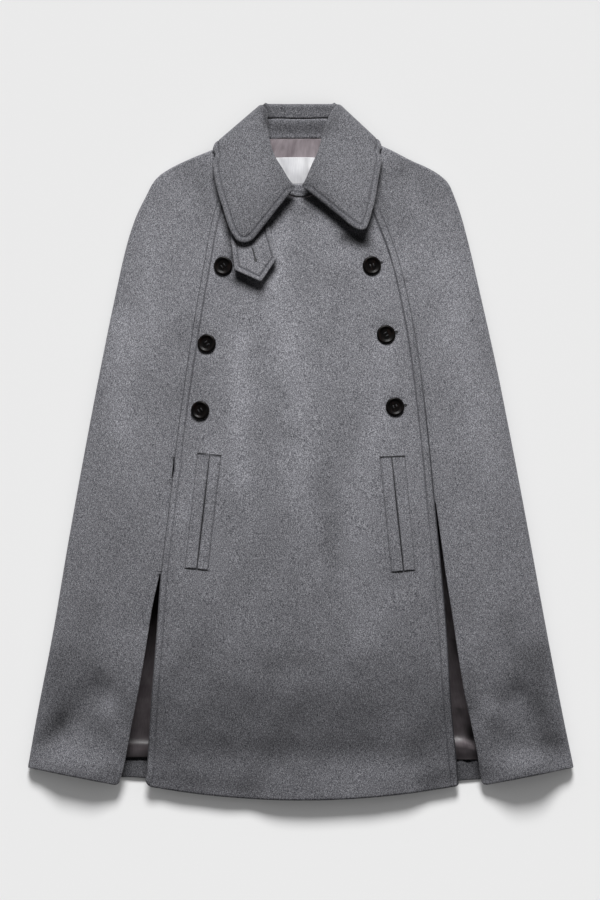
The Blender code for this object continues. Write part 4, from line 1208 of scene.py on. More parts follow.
@dataclass
class BackBody(ClothWork):
    """The back panel on the floor, its lining with the jump pleat above the hem, and the label."""
    wings: dict
    steps: tuple = (6, 4.4)  # between the rows of the panel and of the lining
    share_steps: tuple = (0.016, (0, 0.002, 0.005))  # of the width, and near the seams
    neck_rise: tuple = (8.5, 60, 8)  # height, fade and power of the curve
    hem_fade: float = 200.0
    hem_rise: float = 10.0
    hitches: tuple = (8.7, 5)  # of the hem in the minus and in the plus slit
    hitch_place: tuple = (205, 45)  # distance from the middle, and width
    curls: tuple = (3.4, 2.2)  # height of the hem's curl in the two slits
    curl_place: tuple = (212, 24, 26)  # distance from the middle, width, and fade
    hem_rim: float = 1.2
    hem_painted_shade: tuple = (-0.5, (0.5, 48, 60))  # painted shade on the hem strip seen in the slits: how much paler it is drawn, negative here, with steps
    seam_gap: float = 0.3
    lining_inset: float = 4.0
    lining_hem: float = 52.0
    lining_drop: tuple = (3, 150, 200)  # what the minus side's hem has over that
    lining_neck: tuple = (4, 40)  # how far it rises at the neck, and fade
    pleat: tuple = (75, 3.9, 1.3)  # level and height of the jump pleat, more at plus
    pleat_slope: tuple = (4.5, 3.5, 3)  # below its level, above it, more at plus
    pleat_sway: tuple = ((0.8, 9, 0.6), (0.4, 3.7, 0))  # heights, lengths and phases of its waves
    pleat_scallop: tuple = ((7, 206, 6), (3, 211, 221))  # at plus, a rise at a place and a dip
    pleat_foot: tuple = (0.4, 0.15, 52, 63)  # share of its height at the hem, more at plus, levels
    pleat_drop: tuple = (2.2, 11, 8)  # of the cloth at plus, and from and to how far under it
    plus_side: tuple = (-60, 60)
    ripple: tuple = (0.3, 0.9, 2.6, 1.1, 58, 70)  # height, more at plus, length, phase, levels
    # loose folds: height, lengths across and along, levels where they start and end
    looseness: tuple = ((0.7, 23, 61, 90, 120, 700), (0.5, 4.3, 31, 790, 815, 900))
    # loose folds on the plus side: height, width, line
    lining_folds: tuple = ((3, 4, 196, 130, 204, 112, 218, 84), (1.4, 5, 192, 206, 200, 190))
    # painted shade inside the coat: level, share by which the lining is drawn paler, negative where
    # darker
    lining_painted_shade: tuple = (
        (52, -0.74), (60, -0.68), (66, -0.58), (76, -0.62), (86, -0.66), (96, -0.58), (112, -0.5),
        (230, -0.48), (560, -0.48), (720, 0))
    # painted shade in the hollows of its folds and under the neck band, painted highlights on fold crests
    # where negative: share by which they are drawn darker, width, line
    lining_painted_shade_and_highlights: tuple = (
        (0.9, 3.2, 205, 116, 212, 98, 221, 78), (0.6, 3, 196, 204, 199, 190),
        (0.95, 2.4, 207.5, 66, 209, 53), (0.9, 1.3, 199, 66, 199.6, 55),
        (-1.3, 3.8, 201, 71, 207, 76, 215, 72, 220, 67), (0.3, 2, -222, 70, -221, 58),
        (0.4, 4.5, -222, 77, -209, 75, -196, 73), (-1.8, 1.1, -215, 59.5, -206, 58.6),
        (0.7, 1.2, -201, 54.6, -193, 54), (0.9, 5, -16, 771, 20, 771),
        (0.36, 2, -24.4, 837, -22.6, 834.5), (0.14, 1.5, -15.5, 843, -17.5, 824),
        (0.22, 1.1, 9, 836, 17, 835), (0.16, 2.6, 10, 832, 9, 823))
    label_x: tuple = (-46, 36)
    label_up: tuple = (776, 821)
    label_steps: tuple = (1.2, (0, 0.3, 0.7))
    label_arch: tuple = (1.4, 800, 821)  # rise of its top edge in the middle, and between which levels
    label_wave: tuple = (0.5, 5.2, 0.7, 776, 815)  # height, length, phase and levels
    label_wall: float = 0.5
    label_painted_shadow: tuple = (-0.94, (0.99, 788.3, 789.1))  # painted shadow below the neck band's edge: paler than its cloth, with steps
    # painted shade along the label's folds: share by which it is drawn paler, negative here, width, line
    label_fold_shade: tuple = ((-0.16, 3.6, -25, 821, -18, 802), (-0.24, 3.4, 7, 821, 8.5, 802))

    def plan_grid(self, inset: float, step: float, hitches: tuple = (0.0, 0.0)) -> tuple[Array, Array]:
        """Plan grid between the two back seams, rows from neck to hem."""
        ends = []
        for side in Side:
            _, _, seam, inward = self.wings[side].rows(step)
            ends.append(seam + inward * inset)
        share = spaced(0.0, 1.0, *self.share_steps)[None, :, None]
        grid = ends[0][:, None] + (ends[1] - ends[0])[:, None] * share
        x, up = grid[..., 0], grid[..., 1]
        across = np.abs(2.0 * share[..., 0] - 1.0)
        top, bottom = up[0].max(), up[-1].max()
        rise, fade, power = self.neck_rise
        up = up + rise * smooth_step(up, top - fade, top) * (1.0 - across ** power)
        near_hem = fall(up, bottom, bottom + self.hem_fade)
        place, width = self.hitch_place
        hitch = np.where(x < 0.0, *hitches) * bump(np.abs(x) - place, width)
        return x, up - ((bottom - self.hem_rise) * (1.0 - across ** 2) - hitch) * near_hem

    def lining_painted_shading(self, x: Array, up: Array) -> Array:
        """Painted shade of the lining inside the coat and in the hollows of its folds, with painted
        highlights on some crests.
        """
        depth = table(self.lining_painted_shade, up)
        return depth - (1.0 + depth) * band_sum(self.lining_painted_shade_and_highlights, x, up)

    def lining_rise(self, x: Array, up: Array) -> Array:
        """Height of the lining's loose folds above the back, near its hem and at the neck."""
        plus = smooth_step(x, *self.plus_side)
        level, height, more = self.pleat
        below, above, more_above = self.pleat_slope
        sway = sum(rise * np.sin(x / length + phase) for rise, length, phase in self.pleat_sway)
        (rise, place, width), (dip, start, end) = self.pleat_scallop
        level = level + sway + plus * (rise * bump(x - place, width) - dip * smooth_step(x, start, end))
        crest = (height + more * plus) * fall(up, level - below, level + above + more_above * plus)
        share, more_share, low, high = self.pleat_foot
        foot = share + more_share * plus
        crest = crest * (foot + (1.0 - foot) * smooth_step(up, low, high))
        depth, low, high = self.pleat_drop
        drop = depth * plus * fall(up, level - low, level - high)
        height, more, length, phase, low, high = self.ripple
        ripple = (height + more * plus) * np.sin(x / length + phase) * fall(up, low, high)
        loose = crest - drop + ripple + band_sum(self.lining_folds, x, up)
        for height, across, along, low, high, end in self.looseness:
            folds = height * np.sin(x / across + up / along) + height
            loose = loose + folds * smooth_step(up, low, high) * (up < end)
        return loose

    def build(self) -> None:
        """Build the three pieces."""
        form, wool = self.form, self.finishes.melton
        x, up = self.plan_grid(self.seam_gap, self.steps[0], self.hitches)
        place, width, fade = self.curl_place
        curl = np.where(x < 0.0, *self.curls) * bump(np.abs(x) - place, width)
        low = form.ground(x, up) + curl * fall(up, up[-1:], up[-1:] + fade)
        shell = Shell.laid(x, up, low, form.wool)
        shell.round_rim(shell.distance_from(Border.LAST_ROW), self.hem_rim)
        hand_over(shell.make("back_panel_melton", painted_shading=climb(up, *self.hem_painted_shade)), wool,
                  ("back",))

        x, up = self.plan_grid(self.lining_inset, self.steps[1])
        low_edge, high_edge = up[-1:], up[:1]
        fade = fall(up, low_edge, low_edge + self.hem_fade)
        hem = climb(-x[-1:], self.lining_hem, self.lining_drop)
        rise, reach = self.lining_neck
        near_neck = smooth_step(up, high_edge - reach, high_edge)
        up = up + np.maximum(hem - low_edge, 0.0) * fade + rise * near_neck
        low = form.ground(x, up) + form.wool + form.lay_gap
        shell = Shell.laid(x, up, low + self.lining_rise(x, up), form.lining_wall)
        piece = shell.make("back_lining_satin", painted_shading=self.lining_painted_shading(x, up))
        hand_over(piece, self.finishes.lining, ("back_lining",))

        x, up = (spaced(*ends, *self.label_steps) for ends in (self.label_x, self.label_up))
        half = (self.label_x[1] - self.label_x[0]) / 2.0
        off = (x - self.label_x[0] - half) / half
        rise, *levels = self.label_arch
        up = up[:, None] + rise * (1.0 - off ** 2) * smooth_step(up, *levels)[:, None]
        x = np.broadcast_to(x, up.shape)
        low = form.ground(x, up) + form.wool + 2 * form.lay_gap + form.lining_wall
        height, length, phase, *levels = self.label_wave
        waves = height * np.sin(x / length + phase) * smooth_step(up, *levels) + height
        shell = Shell.laid(x, up, low + waves, self.label_wall)
        painted_shading = climb(up, *self.label_painted_shadow) + band_sum(self.label_fold_shade, x, up)
        hand_over(shell.make("neck_label_satin", painted_shading=painted_shading), self.finishes.label, ("label",))


# ---- Collar ----

# roll x, up, z; edge x, up, z; neck x, up, z; behind the neck also lean and length turned in
MINUS_COLLAR = (
    (-6.4, 784.2, 57, -60.8, 716, 62.5, -11, 772.6, 39),
    (-8.9, 787.2, 57.3, -67.6, 712.8, 63.2, -14, 773.6, 39),
    (-11.4, 789.5, 57.5, -74.9, 712.2, 63.5, -18, 775.6, 38.5),
    (-14.3, 793, 57.4, -80.8, 714.6, 63.2, -22, 778, 38),
    (-16.9, 797, 57, -84.8, 719.8, 62.5, -27, 781, 37),
    (-24, 809, 55, -91.5, 732, 60, -36, 790.5, 34),
    (-31, 820, 51, -98, 752.6, 54, -43, 801, 30.5),
    (-37, 834, 45, -104.6, 773, 45, -49.5, 814.5, 25.5),
    (-40, 848, 38, -109.4, 793, 37, -54.5, 829, 20.5),
    (-42, 866, 29, -112.3, 812, 28, -56, 843, 16.5),
)
MINUS_COLLAR_BACK = (
    (-41, 890.8, 0, -80, 819, 0, -41, 847.2, 6.3, -90, 19.5),
    (-22, 890.5, 0, -44, 815.5, 0, -22, 846.9, 6.3, -90, 19),
)
# roll x, up; edge x, up; neck x, up, where the collar passes round the side of the neck
MINUS_TURN = (-50.3, 891.2, -110.6, 839.5, -52, 853)
MIDDLE_COLLAR = ((0, 890.5, 0, 0, 813, 0, 0, 846.6, 6.3, -90, 19),)
PLUS_COLLAR = (
    (0.8, 784.6, 57, 61.4, 736, 64.5, 9, 772.2, 39),
    (2.2, 787.8, 57.3, 70.4, 730.2, 66, 13, 773.4, 39),
    (4.5, 791, 57.5, 78, 728.2, 66.6, 18, 775.6, 38.5),
    (6.8, 796, 57.2, 83.2, 730.8, 65.4, 22, 778, 38),
    (9.2, 801, 56.5, 86.4, 737.3, 61.5, 27, 781, 37),
    (14.8, 814, 53, 91.1, 752.6, 56.5, 37, 791.6, 33.5),
    (20.8, 827, 47, 95.2, 768.6, 49.5, 44.5, 803.5, 29.5),
    (25.2, 841, 40, 98.6, 789.8, 40.5, 50, 816.5, 24.5),
    (29.2, 856, 33, 101.8, 807, 32.5, 53.5, 829, 20.5),
    (34.2, 870, 26.5, 104.2, 820, 26.5, 55.5, 841, 17),
)
PLUS_COLLAR_BACK = (
    (40, 890.8, 0, 76, 820, 0, 40, 847.2, 6.3, -90, 19.5),
    (22, 890.5, 0, 44, 815.5, 0, 22, 846.9, 6.3, -90, 19),
)
PLUS_TURN = (48.6, 891.8, 102, 842, 51.5, 853)
FRONT_LEAN = 90


def down_coat(along: Array) -> Array:
    """Unit vector in plan, square to a direction, that points down the coat."""
    square = unit(np.array([-along[1], along[0]]))
    return square if square[1] < 0.0 else -square


@dataclass
class Collar(ClothWork):
    """The fall with its two leaves, the stand inside it, and the band end at the throat."""
    wall: float = 3.4
    stand_wall: float = 3.0
    roll_radius: float = 4.6
    turned_in: float = 12.0  # length past the roll, on the front sections
    seam_gap: float = 0.3
    columns: tuple = (5, 13, 14)  # turned in, round the roll, and on to the edge
    step: float = 3.2
    tip_steps: tuple = tuple(np.cumsum([0, 0.25, 0.35, 0.5, 0.6] + [0.8] * 14 + [1.2] * 10))
    leaf_crown: float = 2.5
    crown_shares: tuple = ((0.1, 0.3, 0.6, 0.8), (-1, -0.7, -0.2, 0.4))  # of the first sections
    turn_radii: tuple = (11, 10.5, 2.2)  # at the roll, the edge and the neck
    turn_neck_z: float = 9.0
    turn_slide: float = 8.0
    turn_back: float = 5.0
    turn_length: float = 13.0
    back_rise: tuple = (9, 845, 874)  # height, and the levels where it starts and ends
    back_rise_side: tuple = (30, 52)
    stitch: RimStitch = RimStitch(7.2, 0.8, 1.0, (0.4, 3.6, 2.4), 0.25, 1.7)
    pressed_nap_and_shade: float = 0.7  # how dark the painted shade in the stitched groove is
    stitched_above: float = 24.0
    painted_fall_shade: tuple = (-0.29, -0.10, 12)  # painted shade on the fall: share by which it is drawn paler, negative here, more towards its roll, and how far
    hollow: tuple = ((-0.3, 3.6, -46, 888, -43, 862),)  # in shade beside the minus leaf
    stand_start: int = 4
    stand_steps: tuple = (0.08, (0, 0.01, 0.03))  # shares of its height
    stand_rims: tuple = (0.5, 1.2)  # radii at the fall and at the neck
    # painted light: share by which the stand is drawn paler
    stand_painted_light: float = 0.42
    stand_painted_shade: tuple = (0.6, -43, 5)  # painted shade beside the minus leaf: darker by, place and width
    band: tuple = (3, 21, 770.8, 787, 3)  # middle x, half width, low, high, wall
    band_curve: tuple = (62, 2.2)  # depth and power of the neckline
    band_grooves: tuple = ((0.7, 0.4), (1, 0))  # strength, and share of the height
    band_groove: tuple = (0.55, 0.06, 0.9)  # depth, width, and darkness of the painted shade in the grooves
    band_rim: float = 1.6
    band_steps: tuple = ((0.06, (0, 0.02)), (0.06, (0, 0.02, 0.05)))  # across it, and down it

    def turn_rows(self, turn: tuple) -> tuple:
        """Sections where the collar passes round the side of the neck, from front to back."""
        roll, edge, neck = (np.array(turn[i:i + 2]) for i in (0, 2, 4))
        along = unit(edge - roll)
        inward = down_coat(along)
        at_roll, at_edge, at_neck = self.turn_radii
        rows = []
        for lean in (90.0, 45.0, 0.0, -45.0, -90.0):
            side, rise = math.cos(math.radians(lean)), math.sin(math.radians(lean))
            behind = np.array([-math.copysign(self.turn_back, roll[0]), 0.0])
            shift = inward * at_roll if lean >= 0.0 else behind
            rows.append((
                *(roll + shift * (1.0 - side)), at_roll * (1.0 + rise),
                *(edge + inward * at_edge * (1.0 - side) + along * self.turn_slide * abs(rise)),
                at_edge * (1.0 + rise),
                *(neck - inward * at_neck * side), self.turn_neck_z + at_neck * rise,
                lean, self.turn_length))
        return tuple(rows)

    def rows(self) -> tuple:
        """All sections, from the minus side's throat round to the plus side's."""
        minus, plus = (
            tuple((*row, FRONT_LEAN, self.turned_in) for row in front) + self.turn_rows(turn) + back
            for front, turn, back in ((MINUS_COLLAR, MINUS_TURN, MINUS_COLLAR_BACK),
                                      (PLUS_COLLAR, PLUS_TURN, PLUS_COLLAR_BACK)))
        return minus + MIDDLE_COLLAR + plus[::-1]

    @staticmethod
    def section_frame(row: tuple) -> tuple:
        """Roll point, direction to the edge, direction to the stand, and length of a section."""
        roll, edge = np.array(row[0:3], float), np.array(row[3:6], float)
        span = np.linalg.norm(edge - roll)
        along = (edge - roll) / span
        lean = math.radians(row[9])
        toward = np.array([*(down_coat(along) * math.cos(lean)), -math.sin(lean)])
        return roll, along, unit(toward - (toward @ along) * along), span

    def section(self, row: tuple, crown_share: float = 1.0) -> tuple[Array, Array]:
        """Outer and inner points of one section, from its turned end to its edge."""
        roll, along, toward, span = self.section_frame(row)
        radius, thin = self.roll_radius, self.roll_radius - self.wall
        turned, around, across = self.columns
        places = []
        for reach in np.linspace(row[10], radius, turned + 1)[:-1]:
            places.append(((reach, 2 * radius), (reach, 2 * radius - self.wall)))
        for degrees in np.linspace(90.0, -90.0, around):
            cos, sin = math.cos(math.radians(degrees)), math.sin(math.radians(degrees))
            places.append(((radius - radius * cos, radius + radius * sin),
                           (radius - thin * cos, radius + thin * sin)))
        at_edge = span - np.array(EDGE_STEPS[:-2])[::-1]
        for reach in (*np.linspace(radius, at_edge[0], across)[1:-1], *at_edge):
            share = (reach - radius) / (span - radius)
            crown = -self.leaf_crown * crown_share * 4.0 * share * (1.0 - share)
            crown = crown if row[9] == FRONT_LEAN else 0.0
            places.append(((reach, crown), (reach, crown + self.wall)))
        faces = [np.array([roll + along * reach + toward * depth for reach, depth in pair])
                 for pair in zip(*places)]
        return faces[0], faces[1]

    def stand_up(self, points: Array) -> Array:
        """Raise the back fold of the collar, which its stiffness holds off the ground."""
        lift, low, high = self.back_rise
        share = smooth_step(points[..., 1], low, high)
        share = share * fall(np.abs(points[..., 0]), *self.back_rise_side)
        return points + UP * (lift * share)[..., None]

    def build_fall(self, stitching: Stitching) -> Piece:
        """Build the fall with its grooves and topstitching."""
        rows = self.rows()
        first, last = self.crown_shares
        crowns = first + (1.0,) * (len(rows) - len(first) - len(last)) + last[::-1]
        sections = [self.section(row, crown) for row, crown in zip(rows, crowns)]
        outer, inner = (np.array([s[k] for s in sections]) for k in (0, 1))
        knots = knots_of((outer + inner) / 2.0)
        at = spaced(knots[0], knots[-1], self.step, self.tip_steps)
        shell = Shell(self.stand_up(through(knots, outer, at)), self.stand_up(through(knots, inner, at)))
        shell.top[..., 2] = np.maximum(shell.top[..., 2], 0.0)
        turned, around, _ = self.columns
        leaf = turned + around
        middle = shell.middle
        outline = np.concatenate([resample(line, 0.6) for line in
                                  (middle[0, leaf:], middle[:, -1], middle[-1, leaf:][::-1])])
        rim = shell.distance_to(outline)
        groove = shell.stitch_rim(rim, self.stitch)
        even, more, reach = self.painted_fall_shade
        roll = resample(shell.middle[:, turned + around // 2], 1.0)
        shade = even + more * bump(shell.distance_to(roll), reach)
        shade = shade + band_sum(self.hollow, shell.top[..., 0], shell.top[..., 1])
        piece = shell.make("collar_fall_melton", self.pressed_nap_and_shade * groove, shade)
        outside = Shell(shell.top[:, leaf:], shell.under[:, leaf:])
        line = outside.line_at(rim[:, leaf:], self.stitch.inset, outline)
        line = line[line[:, 2] > self.stitched_above]
        rows = []
        for side in Side:
            part = line[line[:, 0] * side.value > 0.0]
            rows.append(stitching.row(f"topstitch_collar_{side.label}", part))
        return hand_over(piece, self.finishes.melton, ("collar_fall",))

    def build_stand(self) -> Piece:
        """Build the stand between the fall's turned end and the neck."""
        face, reverse = [], []
        for row in self.rows()[self.stand_start:-self.stand_start]:
            roll, along, toward, _ = self.section_frame(row)
            start = (roll + along * (row[10] + self.seam_gap)
                     + toward * (2 * self.roll_radius - self.seam_gap))
            end = np.array(row[6:9], float) + toward * self.stand_wall / 2.0
            share = spaced(0.0, 1.0, *self.stand_steps)[:, None]
            line = start + (end - start) * share
            face.append(line)
            reverse.append(line - toward * self.stand_wall)
        face, reverse = np.array(face), np.array(reverse)
        knots = knots_of(face)
        at = spaced(knots[0], knots[-1], self.stand_wall)
        shell = Shell(self.stand_up(through(knots, face, at)), self.stand_up(through(knots, reverse, at)))
        for border, radius in zip((Border.FIRST_COLUMN, Border.LAST_COLUMN), self.stand_rims):
            shell.round_rim(shell.distance_from(border), radius)
        darker, place, width = self.stand_painted_shade
        shade = self.stand_painted_light - darker * bump(shell.top[..., 0] - place, width)
        cut = Cut(0.24, 0.04, 0.0065, ("back_lining_satin",), Hold.FOLDED)
        return self.sew("collar_stand", shell, cut, painted_shading=shade)

    def build_band(self) -> Piece:
        """Build the short end of the stand that shows between the leaves."""
        form = self.form
        middle, half, low, high, wall = self.band
        across, down = self.band_steps
        x = middle + half * spaced(-1.0, 1.0, *across)[None, :]
        curve, power = self.band_curve
        share = spaced(0.0, 1.0, *down)[:, None]
        up = low + curve * (np.abs(x) / curve) ** power + (high - low) * share
        x = np.broadcast_to(x, up.shape)
        depth, width, dark = self.band_groove
        grooves = sum(strength * bump(share - place, width) for strength, place in self.band_grooves)
        grooves = np.broadcast_to(grooves, up.shape)
        shell = Shell.laid(x, up, form.height(x, low) + form.lay_gap, wall)
        shell.press(depth * grooves)
        shell.round_rim(shell.distance_from(Border.FIRST_ROW, Border.LAST_ROW), self.band_rim)
        cut = Cut(0.043, 0.0165, 0.0007, ("front_over_melton",))
        return self.sew("neck_band", shell, cut, dark * grooves)


# ---- Throat tab and pocket welts ----

@dataclass
class ThroatTab(ClothWork):
    """The throat tab: it comes from under the minus leaf and ends in a stitched point."""
    # left x, left up, right x, right up, height over the front
    rows: tuple = (
        (-84, 677.4, -30, 692.6, 10.5), (-87.2, 702, -33.4, 707.6, 5), (-89.6, 722, -38.5, 725, 2),
        (-90.5, 742, -43, 745, 1), (-88, 758, -47, 762, 1))
    row_pitch: float = 22.0  # along the tab
    steps: tuple = (1.6, 0.02)  # along it, and as a share of its width
    width: float = 52.0
    point: tuple = (24, 0.0012)  # length, and roundness of its tip
    wall: float = 3.2
    stitch: RimStitch = RimStitch(6.5, 0.9, 0.85, (0.3, 3.2, 2.0), 0.2, 1.6)
    # painted shade: share by which the tab is drawn paler, negative here
    painted_shading: float = -0.2
    hole: tuple = ((-57, 688.4), (-61.4, 705.2))

    def build(self, stitching: Stitching, buttonholes: Buttonholes) -> Piece:
        """Build the tab and its topstitching."""
        knots = np.arange(len(self.rows), dtype=float) * self.row_pitch
        edge_steps = EDGE_STEPS[:14]
        along = spaced(knots[0], knots[-1], self.steps[0], edge_steps, RIM_STEPS)
        columns = np.array(self.rows, float)
        left_x, left_up, right_x, right_up, lift = through(knots, columns, along).T[..., None]
        across = spaced(0.0, 1.0, self.steps[1], tuple(np.array(edge_steps) / self.width))[None, :]
        x = left_x + (right_x - left_x) * across
        up = left_up + (right_up - left_up) * across
        length, roundness = self.point
        tip = length * (1.0 - np.sqrt((2.0 * across - 1.0) ** 2 + roundness))
        first = columns[0]
        axis = unit(np.array([first[3] - first[1], first[0] - first[2]]))
        fade = (1.0 - along / knots[-1])[:, None] ** 2
        x, up = x + axis[0] * tip * fade, up + axis[1] * tip * fade
        shell = Shell.laid(x, up, self.form.front_top(x, up) + lift, self.wall)
        outline = np.concatenate([shell.border(Border.FIRST_COLUMN)[::-1],
                                  shell.border(Border.FIRST_ROW), shell.border(Border.LAST_COLUMN)])
        rim = shell.distance_to(outline)
        piece = shell.make("throat_tab_melton", shell.stitch_rim(rim, self.stitch), self.painted_shading)
        line = shell.line_at(rim, self.stitch.inset, outline)
        trim = [stitching.row("topstitch_throat_tab", line)]
        tops = shell.top.reshape(-1, 3)

        def surface(x: Array, up: Array) -> Array:
            gaps = (tops[:, 0] - x[:, None]) ** 2 + (tops[:, 1] - up[:, None]) ** 2
            return tops[np.argmin(gaps, axis=1), 2]

        trim += buttonholes.work("buttonhole_throat_tab", *self.hole, surface)
        return hand_over(piece, self.finishes.melton, ("throat_tab",))


@dataclass
class PocketWelts(ClothWork):
    """Two welts to each pocket mouth, set on the overlapping front."""
    height: tuple = (0.55, 1.15)  # at the outer edge, and more at the mouth
    sink: float = 0.15  # into the nap of the front
    bow: float = 0.45  # of the mouth's sides
    steps: tuple = ((0.03, (0, 0.003, 0.008, 0.015)), (0.08, (0, 0.02, 0.05, 0.1)))
    rim: float = 1.0
    # strength and width of the painted shade lines: top, low end, all round, outer welt's seam, inner
    # one's
    lines: tuple = ((1, 1.3), (0.45, 1.2), (0.3, 0.8), (0.6, 0.9), (0.5, 1.7))
    # painted light: the inner welts drawn paler towards their tops, a start and steps
    inner_painted_light: tuple = (0, (0.16, 380, 415))
    tack_rise: float = 1.9
    # the near-black strip that paints the shadow in each pocket's mouth
    mouth_wall: float = 0.35
    mouth_gape: float = 2.4
    mouth_lift: float = 0.05  # above the front
    mouth_rows: int = 30
    # name, then x and up at the mouth's top, the outer top, the mouth's low end, the outer low end
    welts: tuple = (
        ("welt_minus_x_outer", (-116.6, 441.3), (-131.7, 444.2), (-132.9, 296.9), (-148, 297.5)),
        ("welt_minus_x_inner", (-115.4, 441.2), (-101, 441), (-131.7, 296.4), (-118, 294.7)),
        ("welt_plus_x_inner", (115.2, 439.3), (100.5, 439.3), (130.6, 293.9), (115.2, 292.6)),
        ("welt_plus_x_outer", (116.4, 439.3), (133.1, 440.6), (131.8, 294), (146.3, 295.2)))

    def pair(self, side: Side) -> tuple:
        """The two welts of a side's pocket."""
        return self.welts[:2] if side is Side.MINUS else self.welts[2:]

    def build(self, stitching: Stitching) -> None:
        """Build the four welts, the painted shadows in their mouths and the tacks across their tops."""
        for name, *corners in self.welts:
            self.build_welt(name, *(np.array(corner) for corner in corners))
        for side in Side:
            self.build_mouth_shadow(side)
            line = [plan(*welt[2], float(self.form.front_top(*welt[2])) + self.tack_rise)
                    for welt in self.pair(side)]
            stitching.tack(f"bar_tack_pocket_{side.label}", *line)

    def build_welt(self, name: str, top_mouth: Array, top_outer: Array,
                   low_mouth: Array, low_outer: Array) -> Piece:
        """Build one welt between its corners."""
        share = spaced(0.0, 1.0, *self.steps[0])[:, None, None]
        mouth = top_mouth + (low_mouth - top_mouth) * share
        outer = top_outer + (low_outer - top_outer) * share
        mouth = mouth + unit(outer - mouth) * self.bow * 4.0 * share * (1.0 - share)
        across = spaced(0.0, 1.0, *self.steps[1])
        grid = mouth + (outer - mouth) * across[None, :, None]
        x, up = grid[..., 0], grid[..., 1]
        low, more = self.height
        height = low + more * np.sqrt(np.clip(1.0 - across ** 3, 0.0, 1.0))[None, :]
        shell = Shell.laid(x, up, self.form.front_top(x, up) - self.sink, height)
        rims = [shell.distance_from(*borders) for borders in
                ((Border.FIRST_ROW,), (Border.LAST_ROW,), tuple(Border), (Border.LAST_COLUMN,))]
        shell.round_rim(rims[2], self.rim)
        inner = "inner" in name
        lines = self.lines[:3] + (self.lines[4 if inner else 3],)
        pressed_nap_and_shade = np.max([dark * bump(rim, width) for rim, (dark, width) in zip(rims, lines)], axis=0)
        paler = climb(up, *self.inner_painted_light) if inner else 0.0
        cut = Cut(0.0155, 0.148, 0.0022, ("front_over_melton",))
        return self.sew(name, shell, cut, pressed_nap_and_shade, paler)

    def build_mouth_shadow(self, side: Side) -> Piece:
        """Build a near-black strip between two welts: the painted shadow in the pocket's mouth."""
        share = np.linspace(0.0, 1.0, self.mouth_rows)[:, None, None]
        lines = [np.array(welt[1]) + np.subtract(welt[3], welt[1]) * share for welt in self.pair(side)]
        across = np.array([(-1.0, 0.0), (0.0, 0.0), (1.0, 0.0)])[None]
        half = self.mouth_wall + self.mouth_gape * share ** 1.5 * (1.0 - share)
        grid = (lines[0] + lines[1]) / 2.0 + across * half
        x, up = grid[..., 0], grid[..., 1]
        shell = Shell.laid(x, up, self.form.front_top(x, up) + self.mouth_lift, self.mouth_wall)
        piece = shell.make(f"pocket_mouth_{side.label}")
        return hand_over(piece, self.finishes.dark_thread_and_shadow)


# ---- Buttons ----

